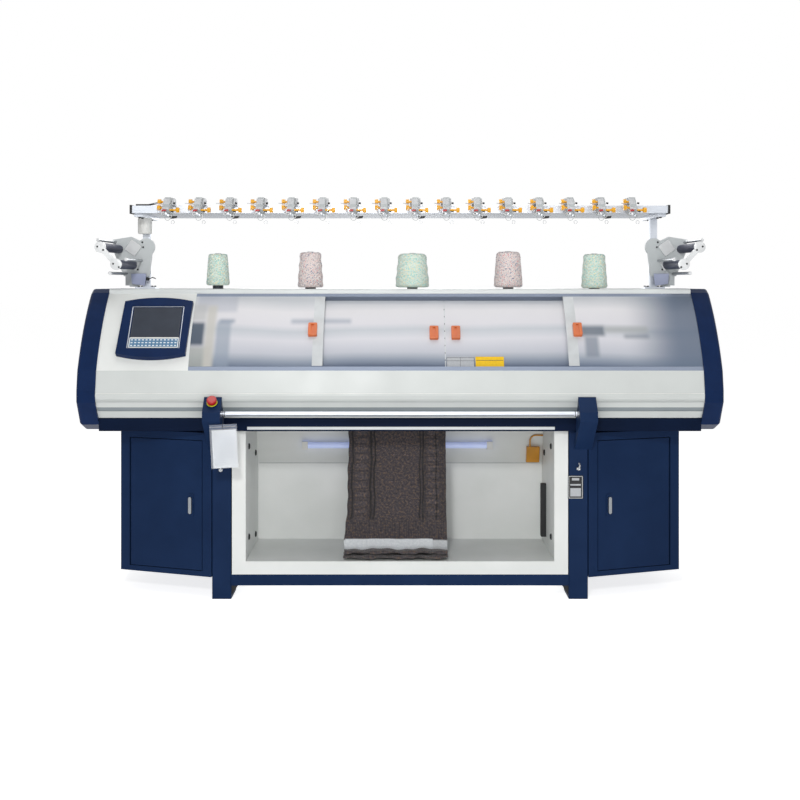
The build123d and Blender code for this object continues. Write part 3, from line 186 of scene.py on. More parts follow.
def frosted_acrylic(name):
    """Sand-blasted acrylic sheet: light is scattered in it, so what lies behind shows as soft shadows.

    The shadows of the fixed parts behind the window are drawn in the sheet's own colour: dark towards the
    window's foot and its right end, a band where the yarn rails run, and a few soft blocks of the frame.
    """
    sockets = {"Roughness": 0.24, "Transmission_Weight": 0.2, "Coat_Weight": 0.25, "Coat_Roughness": 0.3}
    material, add, shader, where = finish(name, IOR=1.3, **sockets)
    axes = add("SeparateXYZ", {0: where}).node.outputs
    haze = add("TexNoise", {"Vector": where, "Scale": 1.6, "Detail": 1.0})
    wander = add("Math", {0: haze, 1: 0.06, 2: -0.03}, operation="MULTIPLY_ADD")
    height = add("Math", {0: axes["Z"], 1: wander}, operation="ADD")
    limits = {"From Min": WINDOW_FOOT[1], "From Max": WINDOW_LID[1]}
    share = add("MapRange", {"Value": height, **limits})
    tone = add("ValToRGB", {0: share}, WINDOW_SHADE_TONES)
    # Painted shade towards the window's right end
    limits = {"From Min": 0.92, "From Max": 1.17, "To Max": 0.9}
    end = add("MapRange", {"Value": axes["X"], **limits}, interpolation_type="SMOOTHSTEP")
    soft = [(end, "#6b7a90")]
    for x, z, half_x, half_z, strength, code in WINDOW_SHADOWS:
        blob = shadow(add, where, x, z, half_x, half_z)
        soft.append((add("Math", {0: blob, 1: strength}, operation="MULTIPLY"), code))
    for factor, code in soft:
        tone = add("Mix", {0: factor, 6: tone, 7: rgb(code)}, out=2, data_type="RGBA")
    blast = add("TexNoise", {"Vector": where, "Scale": 900.0, "Detail": 1.0})
    pits = add("Bump", {"Height": blast, "Distance": 0.00004, "Strength": 0.4})
    feed(shader, {"Base Color": tone, "Normal": pits})
    return material


def plain_print(name, colour, roughness=0.45):
    """A printed label or foil: flat colour with the faint mottle of screen print."""
    material, add, shader, where = finish(name, Roughness=roughness, IOR=1.45)
    mottle = add("TexNoise", {"Vector": where, "Scale": 120.0, "Detail": 2.0})
    dress(add, shader, mottle, [(0.3, colour, 0.9), (0.7, colour)], mottle, 0.00002)
    return material


def opal_light(name):
    """The light tube's opal cover: milky plastic that glows a little blue."""
    glow = {"Emission_Strength": 0.42, "Emission_Color": rgb("#a9b7e8")}
    material, add, shader, where = finish(name, Roughness=0.3, **glow)
    cloud = add("TexNoise", {"Vector": where, "Scale": 9.0})
    feed(shader, {"Base Color": add("ValToRGB", {0: cloud}, [(0.3, "#b3bfe2"), (0.7, "#cdd6f2")])})
    return material


def wound_yarn(name, codes):
    """Marled yarn wound crosswise: bands of crossing threads, with specks of its plies about 6 mm wide.

    The real specks are finer: these are as coarse as they need to be to show in the picture.
    """
    material, add, shader, where = finish(name, Roughness=0.9, Sheen_Weight=0.5, Sheen_Roughness=0.5)
    speck = add("TexNoise", {"Vector": where, "Scale": 160.0, "Detail": 3.0})
    stops = [(0.36 + 0.28 * number / (len(codes) - 1), code) for number, code in enumerate(codes)]
    settings = {"Vector": where, "Scale": 60.0, "Distortion": 3.0, "Detail": 2.0}
    thread = add("TexWave", settings, out=1, bands_direction="Z")
    dress(add, shader, speck, stops, thread, 0.0012, 0.7)
    return material


def knitted(name):
    """Melange wool knit: stitches about 4 mm wide, with painted shade in their grooves, flecked with brown and
    slate fibres.

    The waste attribute marks the band of plain white yarn near the end, and the relief attribute paints
    shade into the pattern's hollows.
    """
    material, add, shader, where = finish(name, Roughness=0.95, Sheen_Weight=0.25, Sheen_Roughness=0.6)
    place = add("UVMap", uv_map="UVMap")
    settings = {"Vector": place, "Scale": 75.0, "Distortion": 1.6, "Detail Scale": 3.0}
    wales = add("TexWave", settings, out=1, bands_direction="X")
    settings = {"Vector": place, "Scale": 88.0, "Distortion": 2.6, "Detail Scale": 2.0}
    courses = add("TexWave", settings, out=1, bands_direction="Y")
    stitch = add("Math", {0: wales, 1: courses}, operation="MULTIPLY")
    flecks = add("TexNoise", {"Vector": place, "Scale": 105.0, "Detail": 5.0, "Roughness": 0.72})
    fibres = [(0.36, "#29262b"), (0.45, "#403a3f"), (0.53, "#4e474b"), (0.60, "#71593f"), (0.67, "#5a5d74")]
    fibre = add("ValToRGB", {0: flecks}, fibres)
    # Painted shade: the ramp below darkens the knit's hollows and the dips between its stitches
    relief = add("Attribute", out="Fac", attribute_name="relief")
    lift = add("Math", {0: stitch, 1: 0.25, 2: relief}, operation="MULTIPLY_ADD")
    depth = add("ValToRGB", {0: lift}, [(0.3, "#4a494e"), (0.85, "#ffffff")])
    layers = {0: 1.0, 6: fibre, 7: depth}
    brown = add("Mix", layers, out=2, data_type="RGBA", blend_type="MULTIPLY")
    white = add("ValToRGB", {0: flecks}, [(0.3, "#cfd4d9"), (0.7, "#eceff1")])
    band = add("Attribute", out="Fac", attribute_name="waste")
    tone = add("Mix", {0: band, 6: brown, 7: white}, out=2, data_type="RGBA")
    loops = add("Bump", {"Height": stitch, "Distance": 0.0012, "Strength": 0.6})
    feed(shader, {"Base Color": tone, "Normal": loops})
    return material


# Enamels: even colour under a thin gloss. The navy is nearly satin, so that it keeps dark in a white room
NAVY = enamel("navy_enamel_on_sheet_steel", "#15294a", "#1a2f52", 0.36, shine=0.07)
# The beam's navy: a darker copy of the same enamel, with the beam's shade painted in
NAVY_SHADED = enamel("navy_enamel_darkened_for_shade_on_beam", "#0a172e", "#0d1b35", 0.40, shine=0.05)
WHITE = enamel("white_enamel_on_sheet_steel", "#cfd3d1", "#c9cdcb", 0.32)
LID_WHITE = enamel("white_enamel_on_lid", "#dfe3e2", "#d6dada", 0.3)
BIN_WHITE = enamel("white_enamel_on_bin", "#eaecea", "#e2e5e2", 0.42, shine=0.3)
PALE_GREY = enamel("pale_grey_enamel", "#d6dadb", "#cad0d1", 0.4)
GRAPHITE = enamel("graphite_enamel_on_casting", "#30353f", "#272b34", 0.45)
FLAP = enamel("blue_grey_enamel_on_bracket", "#a9b1cf", "#b7bed8", 0.4)
# Grey laid on the fascia's lower, down-facing face above the bar: painted shade
FASCIA_SHADE_GREY = enamel("grey_painted_shade_on_fascia", "#8f979b", "#868e92", 0.5, shine=0.2)
# A lighter grey-blue strip for each bracket's front bend: a painted highlight
BRACKET_BEND_HIGHLIGHT = enamel("grey_blue_painted_highlight_on_bracket_bend", "#5d6a83", "#535f77", 0.5, shine=0.2)

# Mouldings: full colour with a soft, slightly grained highlight, sharper where there is a coat
NAVY_SHELL = moulding("navy_gloss_moulding", "#10274f", 0.3, coat=0.02, shine=0.1)
ORANGE = moulding("orange_moulding", "#d56a2b", 0.36, coat=0.2)
BLACK = moulding("black_moulding", "#17181b", 0.5)
GREY = moulding("grey_moulding", "#b4b9ba", 0.45)
UNIT_GREY = moulding("light_grey_moulding", "#cfd1d3", 0.45, shine=0.2)
YELLOW = moulding("yellow_moulding", "#f4b00c", 0.34, coat=0.2)
LEMON = moulding("lemon_yellow_ring", "#dfd626", 0.4)
RED = moulding("red_moulding", "#c01a17", 0.3, coat=0.4)
CREAM = moulding("off_white_moulding", "#f2f2ee", 0.45)
AMBER = moulding("amber_moulding", "#d9962f", 0.4, coat=0.2)
RUBBER = moulding("dark_roller_rubber", "#3a3f57", 0.55, grain_mm=2.0)
SCREEN = moulding("dark_display_glass", "#363c47", 0.3, coat=0.05, shine=0.2)
CERAMIC = moulding("white_ceramic_eye", "#eef0f1", 0.25, coat=0.5)

# Clear plastics: the edge profile is opaque, its pale grey a painted stand-in for the light it catches along its
# length, and the pocket lets the paper show
PROFILE = moulding("clear_edge_profile", "#cfd3d5", 0.3, coat=0.3)
FILM = moulding("clear_pocket_film", "#f4f8ff", 0.18, coat=0.5, alpha=0.2)
FROST = frosted_acrylic("frosted_acrylic_sheet")
OPAL = opal_light("opal_light_cover")

# Metals: the extrusions are drawn along X, and the ground steel shows lines across it
ALUMINIUM = metal("anodised_aluminium_extrusion", "#cdd2da", 0.36, (0.02, 1.0, 1.0))
TRACK = metal("grey_anodised_track", "#868f9f", 0.5, (0.02, 1.0, 1.0))
STEEL = metal("ground_steel", "#a9adb1", 0.3, (1.0, 0.05, 1.0))
WIRE = metal("polished_steel_wire", "#c9ccd0", 0.2)

# Prints and foils: flat, dry colour
KEY_FOIL = plain_print("steel_blue_key_foil", "#5380a3")
KEY_PALE = plain_print("pale_key_print", "#dfe8ee")
SILVER = plain_print("silver_label_foil", "#b9bcc0", 0.35)
LABEL_YELLOW = plain_print("yellow_label", "#f2c40c")
PAPER = plain_print("paper_sheet", "#eceff0", 0.7)
SEAM_FILM = plain_print("pressed_film_seam", "#56627a", 0.3)
FAINT = plain_print("faint_grey_rule", "#b3bace")

# Textiles: matt, with a faint sheen at the edges
KNIT = knitted("melange_wool_knit")
GREEN_PLIES = ["#aee4d9", "#d0ebdf", "#e6f3ea", "#e2f0e4", "#f6f0c8"]
GREEN_YARN = wound_yarn("green_marled_yarn", GREEN_PLIES)
PINK_PLIES = ["#8d8fa6", "#e8dcdb", "#f4e9e5", "#f4e9e5", "#efe0da", "#dfa0a6"]
SPECKLED_YARN = wound_yarn("pink_marled_yarn", PINK_PLIES)

# The finish of each piece that is shown as the solids have it
FINISHES = {
    NAVY: "base_frame left_cabinet right_cabinet left_door right_door brackets",
    NAVY_SHADED: "bed_beam",
    NAVY_SHELL: "left_end_cap right_end_cap console_bezel",
    WHITE: "front_fascia rear_cover",
    LID_WHITE: "top_lid",
    BIN_WHITE: "fabric_bin console_panel",
    FROST: "cover_left cover_middle_left cover_middle_right cover_right",
    ORANGE: "handle_left handle_middle_left handle_middle_right handle_right",
    ALUMINIUM: "top_rail rail_posts yarn_rails operating_bar",
    TRACK: "cover_tracks",
    SCREEN: "console_screen",
    KEY_FOIL: "console_keypad",
    STEEL: "front_needle_bed rear_needle_bed bed_frame left_lock right_lock",
    GRAPHITE: "carriage electronics drive_motor",
    GREY: "yarn_carriers tension_units",
    BLACK: "grip_bar rail_end_caps drive_belt rail_cable",
    RUBBER: "take_down_roller press_roller "
    "left_upper_roller left_lower_roller right_upper_roller right_lower_roller",
    PALE_GREY: "left_feeder right_feeder",
    CREAM: "signal_box",
    YELLOW: "tension_knobs",
    RED: "stop_button",
    AMBER: "fabric_sensor",
    OPAL: "light_tube",
    PAPER: "document_sleeve",
    GREEN_YARN: "yarn_cones",
    KNIT: "knit_fabric",
}
for material, names in FINISHES.items():
    for name in names.split():
        for material_slot in NODES[name].material_slots:
            material_slot.material = material


def grid_faces(rows, columns, wrap=False):
    """Quads between a grid of points that is stored row by row; wrap joins the last column to the first."""
    across = columns if wrap else columns - 1
    row = np.arange(rows - 1)[:, None] * columns
    next_row = row + columns
    here = np.arange(across)[None, :]
    there = (here + 1) % columns
    return np.stack([row + here, row + there, next_row + there, next_row + here], -1).reshape(-1, 4)


def block(low, high):
    """A box between two corners."""
    corner = np.array([low, high], float)
    pick = np.indices((2, 2, 2)).reshape(3, -1).T
    faces = [(0, 1, 3, 2), (4, 6, 7, 5), (0, 4, 5, 1), (2, 3, 7, 6), (0, 2, 6, 4), (1, 5, 7, 3)]
    return corner[pick, np.arange(3)], faces


def turned(profile, foot, axis=(0, 0, 1), sides=32):
    """A lathe shape: each (radius, distance) of its profile, in mm, is a ring round an axis from a foot."""
    profile = np.array(profile) / 1000
    axis = np.array(axis, float) / np.linalg.norm(axis)
    side = np.cross(axis, (0, 1, 0) if abs(axis[1]) < 0.9 else (1, 0, 0))
    side /= np.linalg.norm(side)
    turn = np.linspace(0, 2 * np.pi, sides, endpoint=False)
    ring = np.cos(turn)[:, None] * side + np.sin(turn)[:, None] * np.cross(axis, side)
    points = np.array(foot) + profile[:, 0, None, None] * ring + profile[:, 1, None, None] * axis
    return points.reshape(-1, 3), grid_faces(len(profile), sides, wrap=True)


def tube(path, radius, sides=10, closed=False):
    """A round rod along a path: each point's ring is square to the way from the last point to the next."""
    path = np.array(path, float)
    if closed:
        along = np.roll(path, -1, 0) - np.roll(path, 1, 0)
    else:
        along = np.gradient(path, axis=0)
    along /= np.linalg.norm(along, axis=1)[:, None]
    least = np.argmin(np.abs(along).sum(0))
    first = np.cross(along, np.eye(3)[least])
    first /= np.linalg.norm(first, axis=1)[:, None]
    second = np.cross(along, first)
    turn = np.linspace(0, 2 * np.pi, sides, endpoint=False)[None, :, None]
    points = path[:, None] + radius * (np.cos(turn) * first[:, None] + np.sin(turn) * second[:, None])
    faces = grid_faces(len(path), sides, wrap=True).tolist()
    last = (len(path) - 1) * sides
    if closed:
        faces += [(last + i, last + (i + 1) % sides, (i + 1) % sides, i) for i in range(sides)]
    else:
        faces += [tuple(range(sides)), tuple(range(last, last + sides))]
    return points.reshape(-1, 3), faces


def arc(middle, radius, start, end, across, up, count=16):
    """Points of an arc in the plane of two unit directions, from one angle to another in degrees."""
    turn = np.radians(np.linspace(start, end, count))[:, None]
    return np.array(middle) + radius * (np.cos(turn) * np.array(across) + np.sin(turn) * np.array(up))


def copies(parts, offsets):
    """The same parts at each of the offsets."""
    return [(points + np.array(offset), faces) for points, faces in parts for offset in offsets]


def placed(name, data):
    """A new object in the scene that shows a mesh, a light or a camera."""
    made = bpy.data.objects.new(name, data)
    bpy.context.scene.collection.objects.link(made)
    return made


def piece(name, parts, material, body="root", bevel=0.0, smooth=35, closed=True):
    """One mesh from parts of (points, faces), with edges rounded by a bevel.

    Faces that meet at less than the smooth angle, in degrees, are shaded as one surface.
    """
    mesh = bpy.data.meshes.new(name)
    start = 0
    points = []
    faces = []
    for part_points, part_faces in parts:
        points.append(part_points)
        faces += [tuple(int(i) + start for i in face) for face in part_faces]
        start += len(part_points)
    mesh.from_pydata(np.concatenate(points).tolist(), [], faces)
    if closed:
        work = bmesh.new()
        work.from_mesh(mesh)
        bmesh.ops.recalc_face_normals(work, faces=work.faces)
        work.to_mesh(mesh)
        work.free()
    mesh.polygons.foreach_set("use_smooth", [True] * len(mesh.polygons))
    mesh.set_sharp_from_angle(angle=np.radians(smooth))
    mesh.materials.append(material)
    made = placed(name, mesh)
    if bevel:
        rounding = made.modifiers.new("bevel", "BEVEL")
        rounding.width = bevel
        rounding.segments = 2
        rounding.harden_normals = True
    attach(made, body)
    return made


def window_arc():
    """Middle (y, z) of the window's arc, and the unit direction from there to the middle of the window."""
    foot, lid = np.array(WINDOW_FOOT), np.array(WINDOW_LID)
    chord = lid - foot
    half = np.linalg.norm(chord) / 2
    out = np.array([-chord[1], chord[0]]) / (2 * half)
    middle = (foot + lid) / 2 - out * (WINDOW_RADIUS**2 - half**2) ** 0.5
    return middle + np.array([BELLY_Y, 0]), out


ARC_MIDDLE, WINDOW_OUT = window_arc()


def on_window(height, proud=0.0):
    """(y, z) on the window's arc at a height, standing proud of it by an amount."""
    radius = WINDOW_RADIUS + proud
    turn = np.pi - np.arcsin((np.asarray(height) - ARC_MIDDLE[1]) / WINDOW_RADIUS)
    return np.stack([ARC_MIDDLE[0] + radius * np.cos(turn), ARC_MIDDLE[1] + radius * np.sin(turn)], -1)


def curved_plate(left, right, low, high, proud, thickness, rows=8):
    """A plate that follows the window's arc between two heights, so far proud of it and so thick."""
    heights = np.linspace(low, high, rows)
    outer = on_window(heights, proud + thickness)
    inner = on_window(heights, proud)[::-1]
    section = np.concatenate([outer, inner])
    count = len(section)
    ends = [np.column_stack([np.full(count, x), section]) for x in (left, right)]
    faces = grid_faces(2, count, wrap=True).tolist()
    for start in (0, count):
        last = start + count - 1
        faces += [(start + i, start + i + 1, last - i - 1, last - i) for i in range(rows - 1)]
    return np.concatenate(ends), faces


FLOOR_RADIUS = 60.0
FLOOR_SIDES = 96

# Round area lights: name, place, the point each looks at, watts and size across
LIGHTS = [
    ("key", (-0.5, -5.2, 2.85), (0.0, 0.0, 0.9), 78.0, 0.5),
    ("fill", (3.2, -4.0, 3.4), (0.0, 0.0, 0.9), 10.0, 3.0),
    ("low", (0.0, -4.8, 0.7), (0.0, 0.0, 0.45), 38.0, 2.4),
    ("above", (0.0, -0.6, 4.6), (0.0, 0.0, 1.0), 56.0, 3.4),
    ("rear", (0.0, 5.0, 2.6), (0.0, 0.0, 0.9), 62.0, 3.0),
]


def stage_set():
    """A wide pale floor disc, a main light in front at about 23 degrees, four softer ones and a white world.

    The main light stands so high that the beam throws its shadow on the upper third of the bin's back wall.
    What the camera, a mirror or clear plastic sees of the world is white, and the floor is nearly so.
    """
    turn = np.linspace(0, 2 * np.pi, FLOOR_SIDES, endpoint=False)
    rim = np.stack([FLOOR_RADIUS * np.cos(turn), FLOOR_RADIUS * np.sin(turn), np.zeros_like(turn)], -1)
    mesh = bpy.data.meshes.new("floor")
    mesh.from_pydata(rim.tolist(), [], [tuple(range(FLOOR_SIDES))])
    floor = placed("floor", mesh)
    white = rgb("#ffffff")
    material, add, shader, _ = finish("pale_studio_floor", Roughness=0.9, Specular_IOR_Level=0.0)
    seen = add("LightPath", out="Is Camera Ray")
    glow = add("Math", {0: seen, 1: 0.40, 2: 0.38}, operation="MULTIPLY_ADD")
    feed(shader, {"Base Color": rgb("#f4f4f4"), "Emission Color": white, "Emission Strength": glow})
    mesh.materials.append(material)
    lamps = []
    for name, place, aim, power, size in LIGHTS:
        lamp = bpy.data.lights.new(name, "AREA")
        lamp.energy = power
        lamp.shape = "DISK"
        lamp.size = size
        lamps.append(placed(name, lamp))
        lamps[-1].location = place
        way = mathutils.Vector(aim) - mathutils.Vector(place)
        lamps[-1].rotation_euler = way.to_track_quat("-Z", "Y").to_euler()
    world = bpy.data.worlds.new("studio")
    world.use_nodes = True
    add = partial(node, world.node_tree)
    path = add("LightPath").node.outputs
    seen = path["Is Camera Ray"]
    for ray in ("Is Glossy Ray", "Is Transmission Ray"):
        seen = add("Math", {0: seen, 1: path[ray]}, operation="MAXIMUM")
    strength = add("Math", {0: seen, 1: 0.76, 2: 0.24}, operation="MULTIPLY_ADD")
    background = next(n for n in world.node_tree.nodes if n.type == "BACKGROUND")
    feed(background, {"Color": white, "Strength": strength})
    bpy.context.scene.world = world
    bpy.context.scene.view_settings.view_transform = "Standard"


def photo_camera():
    """The camera that the photograph was taken with."""
    lens = bpy.data.cameras.new("photo_camera")
    lens.sensor_width = SENSOR
    lens.lens = FOCAL_PIXELS / FRAME_PIXELS * SENSOR
    lens.shift_y = (HORIZON_ROW - FRAME_PIXELS / 2) / FRAME_PIXELS
    camera = placed("photo_camera", lens)
    camera.location = (0.0, BELLY_Y - CAMERA_DISTANCE, CAMERA_HEIGHT)
    camera.rotation_euler = (np.pi / 2, 0.0, 0.0)
    bpy.context.scene.camera = camera


stage_set()
photo_camera()


# Knit panel: it hangs from under the beds, leans forward to the bin's floor and lies there in folds
KNIT_LOW, KNIT_HIGH = (np.array(corner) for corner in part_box("knit_fabric"))
KNIT_WIDTH = KNIT_HIGH[0] - KNIT_LOW[0]
YARN_THICKNESS = 0.0034
KNIT_ROWS = 252
KNIT_COLUMNS = 188
FABRIC_Y = BELLY_Y + 0.280
FOLD_Y = BELLY_Y + 0.205
FOLD_FRONT = BELLY_Y + 0.114
FOLD_BACK = BELLY_Y + 0.196
FOLD_HEIGHTS = (0.194, 0.184, 0.174, 0.164)

# Distances down the panel to its welt, to the white waste yarn's start and end, and to the folds
WELT_START = 0.632
WASTE_START = 0.716
WASTE_END = 0.785
FOLDS_START = 0.775

# The grooves beside the ladder bands: middle and width as shares of the panel's width
KNIT_GROOVES = [(0.045, 0.006), (0.235, 0.008), (0.272, 0.008), (0.735, 0.007), (0.765, 0.006), (0.9, 0.008)]

# The step in the waste band's edge, as a share of the width
WASTE_STEP = 0.86


def rise(value, start, span):
    """0 up to a start, 1 from a span further on, and a straight slope between."""
    return np.clip((value - start) / span, 0, 1)


def knit_path():
    """Points (y, z) down the panel's middle line, evenly spaced: the hang, then the folds of the stack.

    Its corners are cut three times, each at a quarter and three quarters of the way to the next.
    """
    corners = [
        (FABRIC_Y, KNIT_HIGH[2]),
        (FABRIC_Y, 0.74),
        (FABRIC_Y - 0.012, 0.66),
        (FOLD_Y + 0.004, 0.245),
        (FOLD_Y - 0.004, 0.222),
        (FOLD_Y - 0.018, 0.199),
    ]
    for number, height in enumerate(FOLD_HEIGHTS):
        way = 1 if number % 2 == 0 else -1
        start, end = (FOLD_BACK, FOLD_FRONT)[::way]
        end += 0.006 * np.sin(number * 1.7)
        corners += [(start - 0.02 * way, height + 0.001), (end, height)]
        if number < len(FOLD_HEIGHTS) - 1:
            corners += [(end - 0.005 * way, height - 0.005)]
    corners = np.array(corners)
    for _ in range(3):
        ahead = corners[:-1] * 0.75 + corners[1:] * 0.25
        behind = corners[:-1] * 0.25 + corners[1:] * 0.75
        corners = np.concatenate([corners[:1], np.stack([ahead, behind], 1).reshape(-1, 2), corners[-1:]])
    step = np.linalg.norm(np.diff(corners, axis=0), axis=1)
    run = np.concatenate([[0], np.cumsum(step)])
    even = np.linspace(0, run[-1], KNIT_ROWS)
    return np.stack([np.interp(even, run, corners[:, i]) for i in (0, 1)], -1), even


def knit_relief(u, v):
    """Height of the knit's pattern, about 0 to 2, at the share across u and the distance down v in metres.

    Ladder bands at both sides have rungs: a wave down the panel whose phase wanders with slow sines. Grooves
    beside them are narrow Gaussian dips. The middle is a moss of crossing waves about 9 mm long, bent by
    slower waves. The welt at the end has plain ribs. Each part fades into the next over a few millimetres.
    """
    side = np.minimum(u, 1 - u)
    wander = 1.3 * np.sin(v * 61 + 3 * u) + 0.9 * np.sin(v * 23 + 11 * u)
    beat = 0.5 + 0.5 * np.sin(2 * np.pi * v / 0.037 + 0.8 * np.sin(v * 19 + 5 * u))
    rung = 0.5 * (0.5 + 0.5 * np.sin(2 * np.pi * v / 0.0125 + wander)) + 0.5 * beat**2
    ladder = np.exp(-(((side - 0.135) / 0.062) ** 6))
    bend = 2.2 * np.sin(v * 70 + u * 18) + 1.7 * np.sin(u * 57 - v * 33)
    moss = 0.5 + 0.5 * np.sin(2 * np.pi * u * 36 + bend) * np.sin(2 * np.pi * v / 0.0105 - bend)
    centre = np.exp(-(((u - 0.51) / 0.235) ** 8))
    groove = np.zeros_like(u * v)
    for middle, width in KNIT_GROOVES:
        sway = 0.005 * np.sin(v * 33 + middle * 30)
        groove = groove + np.exp(-(((u - middle - sway) / width) ** 2))
    rib = np.abs(np.sin(np.pi * 58 * u))
    body = ladder * (0.1 + rung) * 1.15 + centre * moss * 1.2 + 0.4 * rib * (1 - ladder) * (1 - centre)
    welt = rise(v, WELT_START, 0.01)
    return (body - 0.8 * np.clip(groove, 0, 1)) * (1 - welt) + 0.7 * rib * welt


def knit_panel():
    """The panel as a closed sheet: a front and a back 2 mm apart, lifted by the knit's pattern and folds.

    Its width narrows a little under the beds and flares at the welt, with small waves along both edges.
    """
    path, run = knit_path()
    u = np.linspace(0, 1, KNIT_COLUMNS)[None, :]
    v = run[:, None]
    folded = rise(v, FOLDS_START, 0.05)
    waste = rise(v, WASTE_START, 0.004) * rise(-v, -WASTE_END, 0.004)
    height = knit_relief(u, v) * YARN_THICKNESS * (1 - 0.4 * folded) * (1 - 0.85 * waste)
    drape = rise(v, 0.35, 0.3) * (1 - folded)
    slow = 0.003 * np.sin(2 * np.pi * (u * 2.3 + v * 0.6)) + 0.0022 * np.sin(2 * np.pi * u * 6.1 + 5 * v)
    crumple = 0.0028 * np.sin(2 * np.pi * u * 3.1 + 40 * v) + 0.0016 * np.sin(2 * np.pi * u * 7.7 - 60 * v)
    sway = drape * slow + folded * crumple
    ripple = 0.0030 * np.sin(v * 24.0) + 0.0018 * np.sin(v * 83.0 + 1.0)
    narrow = -0.016 * rise(v, 0.5, 0.22) + ripple
    x = KNIT_LOW[0] + 0.001 + narrow * 0.8 + (KNIT_WIDTH - 0.002 - narrow) * u
    along = np.gradient(path, axis=0)
    along /= np.linalg.norm(along, axis=1)[:, None]
    normal = np.stack([along[:, 1], -along[:, 0]], -1)
    sheets = []
    for face_side, scale in ((1, 1.0), (-1, 0.3)):
        off = (0.0011 + height * scale) * face_side + sway
        y = path[:, :1] + normal[:, :1] * off
        z = path[:, 1:] + normal[:, 1:] * off
        sheets.append(np.stack([x * np.ones_like(y), y, z], -1).reshape(-1, 3))
    count = KNIT_ROWS * KNIT_COLUMNS
    front = grid_faces(KNIT_ROWS, KNIT_COLUMNS)
    back = front[:, ::-1] + count
    index = np.arange(count).reshape(KNIT_ROWS, KNIT_COLUMNS)
    rim = np.concatenate([index[0], index[1:, -1], index[-1, -2::-1], index[-2:0:-1, 0]])
    next_rim = np.roll(rim, -1)
    edge = np.stack([rim, next_rim, next_rim + count, rim + count], -1)
    faces = np.concatenate([front, back, edge]).tolist()
    made = piece("knit_panel", [(np.concatenate(sheets), faces)], KNIT, smooth=80)
    mesh = made.data
    place = np.stack(np.broadcast_arrays(u * KNIT_WIDTH, v), -1).reshape(-1, 2)
    place = np.tile(place, (2, 1))
    corner = np.empty(len(mesh.loops), np.int32)
    mesh.loops.foreach_get("vertex_index", corner)
    uv = mesh.uv_layers.new(name="UVMap")
    uv.data.foreach_set("uv", place[corner].astype(np.float32).ravel())
    across, down = place.T
    right_end = across > KNIT_WIDTH * WASTE_STEP
    stepped = WASTE_START + 0.008 * np.clip(1 - across / 0.012, 0, 1) ** 2 + 0.006 * right_end
    band = rise(down, stepped, 0.003) * rise(-down, -WASTE_END, 0.003) * (1 - 0.2 * right_end)
    # Painted shade for the knit's hollows: the pattern's height, so that the lowest parts get the darkest colour
    relief = np.clip((knit_relief(u, v) + 0.75) / 1.9, 0, 1).ravel()
    for name, values in (("waste", band), ("relief", np.tile(relief, 2))):
        layer = mesh.attributes.new(name, "FLOAT", "POINT")
        layer.data.foreach_set("value", values.astype(np.float32))
    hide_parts("knit_fabric")


# The cones as the solids have them: middle, width, height, and how far each has slipped over its stand
CONES = [
    (-0.799, 0.105, 0.147, 0.003),
    (-0.393, 0.115, 0.163, 0.012),
    (0.054, 0.152, 0.157, 0.012),
    (0.475, 0.130, 0.165, 0.012),
    (0.853, 0.117, 0.158, 0.015),
]
PINK_CONES = (1, 3)
CONE_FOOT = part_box("yarn_cones")[0][2]
CONE_Y = BELLY_Y + 0.400
CONE_SIDES = 96
CONE_ROWS = 90

# How much of the paper tube stands out of the yarn, and the profiles of its rim and of the stand's dark cap
TUBE_SHOWS = 0.009
TUBE_RIM = [(4, -3), (14, -3), (14, 2), (11, 3), (10, 0)]
CONE_CAP = [(0, 0.7), (22.6, 0.7), (23.2, 0), (23.2, -13.6), (22.3, -13.6), (22.3, 0.1), (0, 0.1)]


def yarn_cone(number, material):
    """A wound cone: a truncated cone that swells where the crossing winds of yarn lie, on a paper tube.

    Its radius shrinks by a fifth to the top, falls off by a quarter circle at both shoulders, rises with two
    crossing sets of rounded waves and wanders with a slow sine where the yarn lies loose.
    """
    place, width, height, sink = CONES[number]
    foot = CONE_FOOT + 0.004 - sink
    share = np.linspace(0, 1, CONE_ROWS)[:, None]
    turn = np.linspace(0, 2 * np.pi, CONE_SIDES, endpoint=False)[None, :]
    taper = 1 - 0.2 * share
    shoulder = np.sqrt(1 - (1 - rise(np.minimum(share, 1 - share), 0, 0.09)) ** 2)
    winds = np.abs(np.sin(7 * turn + share * 26)) + np.abs(np.sin(7 * turn - share * 26 + number))
    loose = 0.0016 * np.sin(share * 21 + number) * np.sin(2 * turn + number)
    radius = width / 2 * taper * (0.78 + 0.22 * shoulder) - 0.0022 * (2 - winds) + loose
    x = place + radius * np.cos(turn)
    y = CONE_Y + radius * np.sin(turn)
    z = foot + share * (height - TUBE_SHOWS)
    points = np.stack([x, y, z * np.ones_like(x)], -1).reshape(-1, 3)
    faces = grid_faces(CONE_ROWS, CONE_SIDES, wrap=True).tolist()
    faces += [tuple(range(CONE_SIDES)), tuple(range((CONE_ROWS - 1) * CONE_SIDES, CONE_ROWS * CONE_SIDES))]
    made = piece(f"yarn_cone_{number}", [(points, faces)], material, smooth=70)
    top = (place, CONE_Y, foot + height - TUBE_SHOWS)
    piece(f"cone_tube_{number}", [turned(TUBE_RIM, top, sides=24)], PAPER)
    piece(f"cone_base_{number}", [turned(CONE_CAP, (place, CONE_Y, CONE_FOOT))], GRAPHITE)
    return made


knit_panel()
cone_pieces = [yarn_cone(n, SPECKLED_YARN if n in PINK_CONES else GREEN_YARN) for n in range(len(CONES))]
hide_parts("yarn_cones")


def at(x, depth, z):
    """A place in metres from millimetres across, behind the belly and above the floor."""
    return np.array([x, depth, z]) / 1000 + np.array([0, BELLY_Y, 0])


def side_view(outline):
    """An outline square to X, in metres, from millimetres behind the belly and above the floor."""
    return np.array(outline) / 1000 + np.array([BELLY_Y, 0])


def slab(middle, size):
    """A box of a size in millimetres round a place."""
    half = np.array(size) / 2000
    return block(middle - half, middle + half)


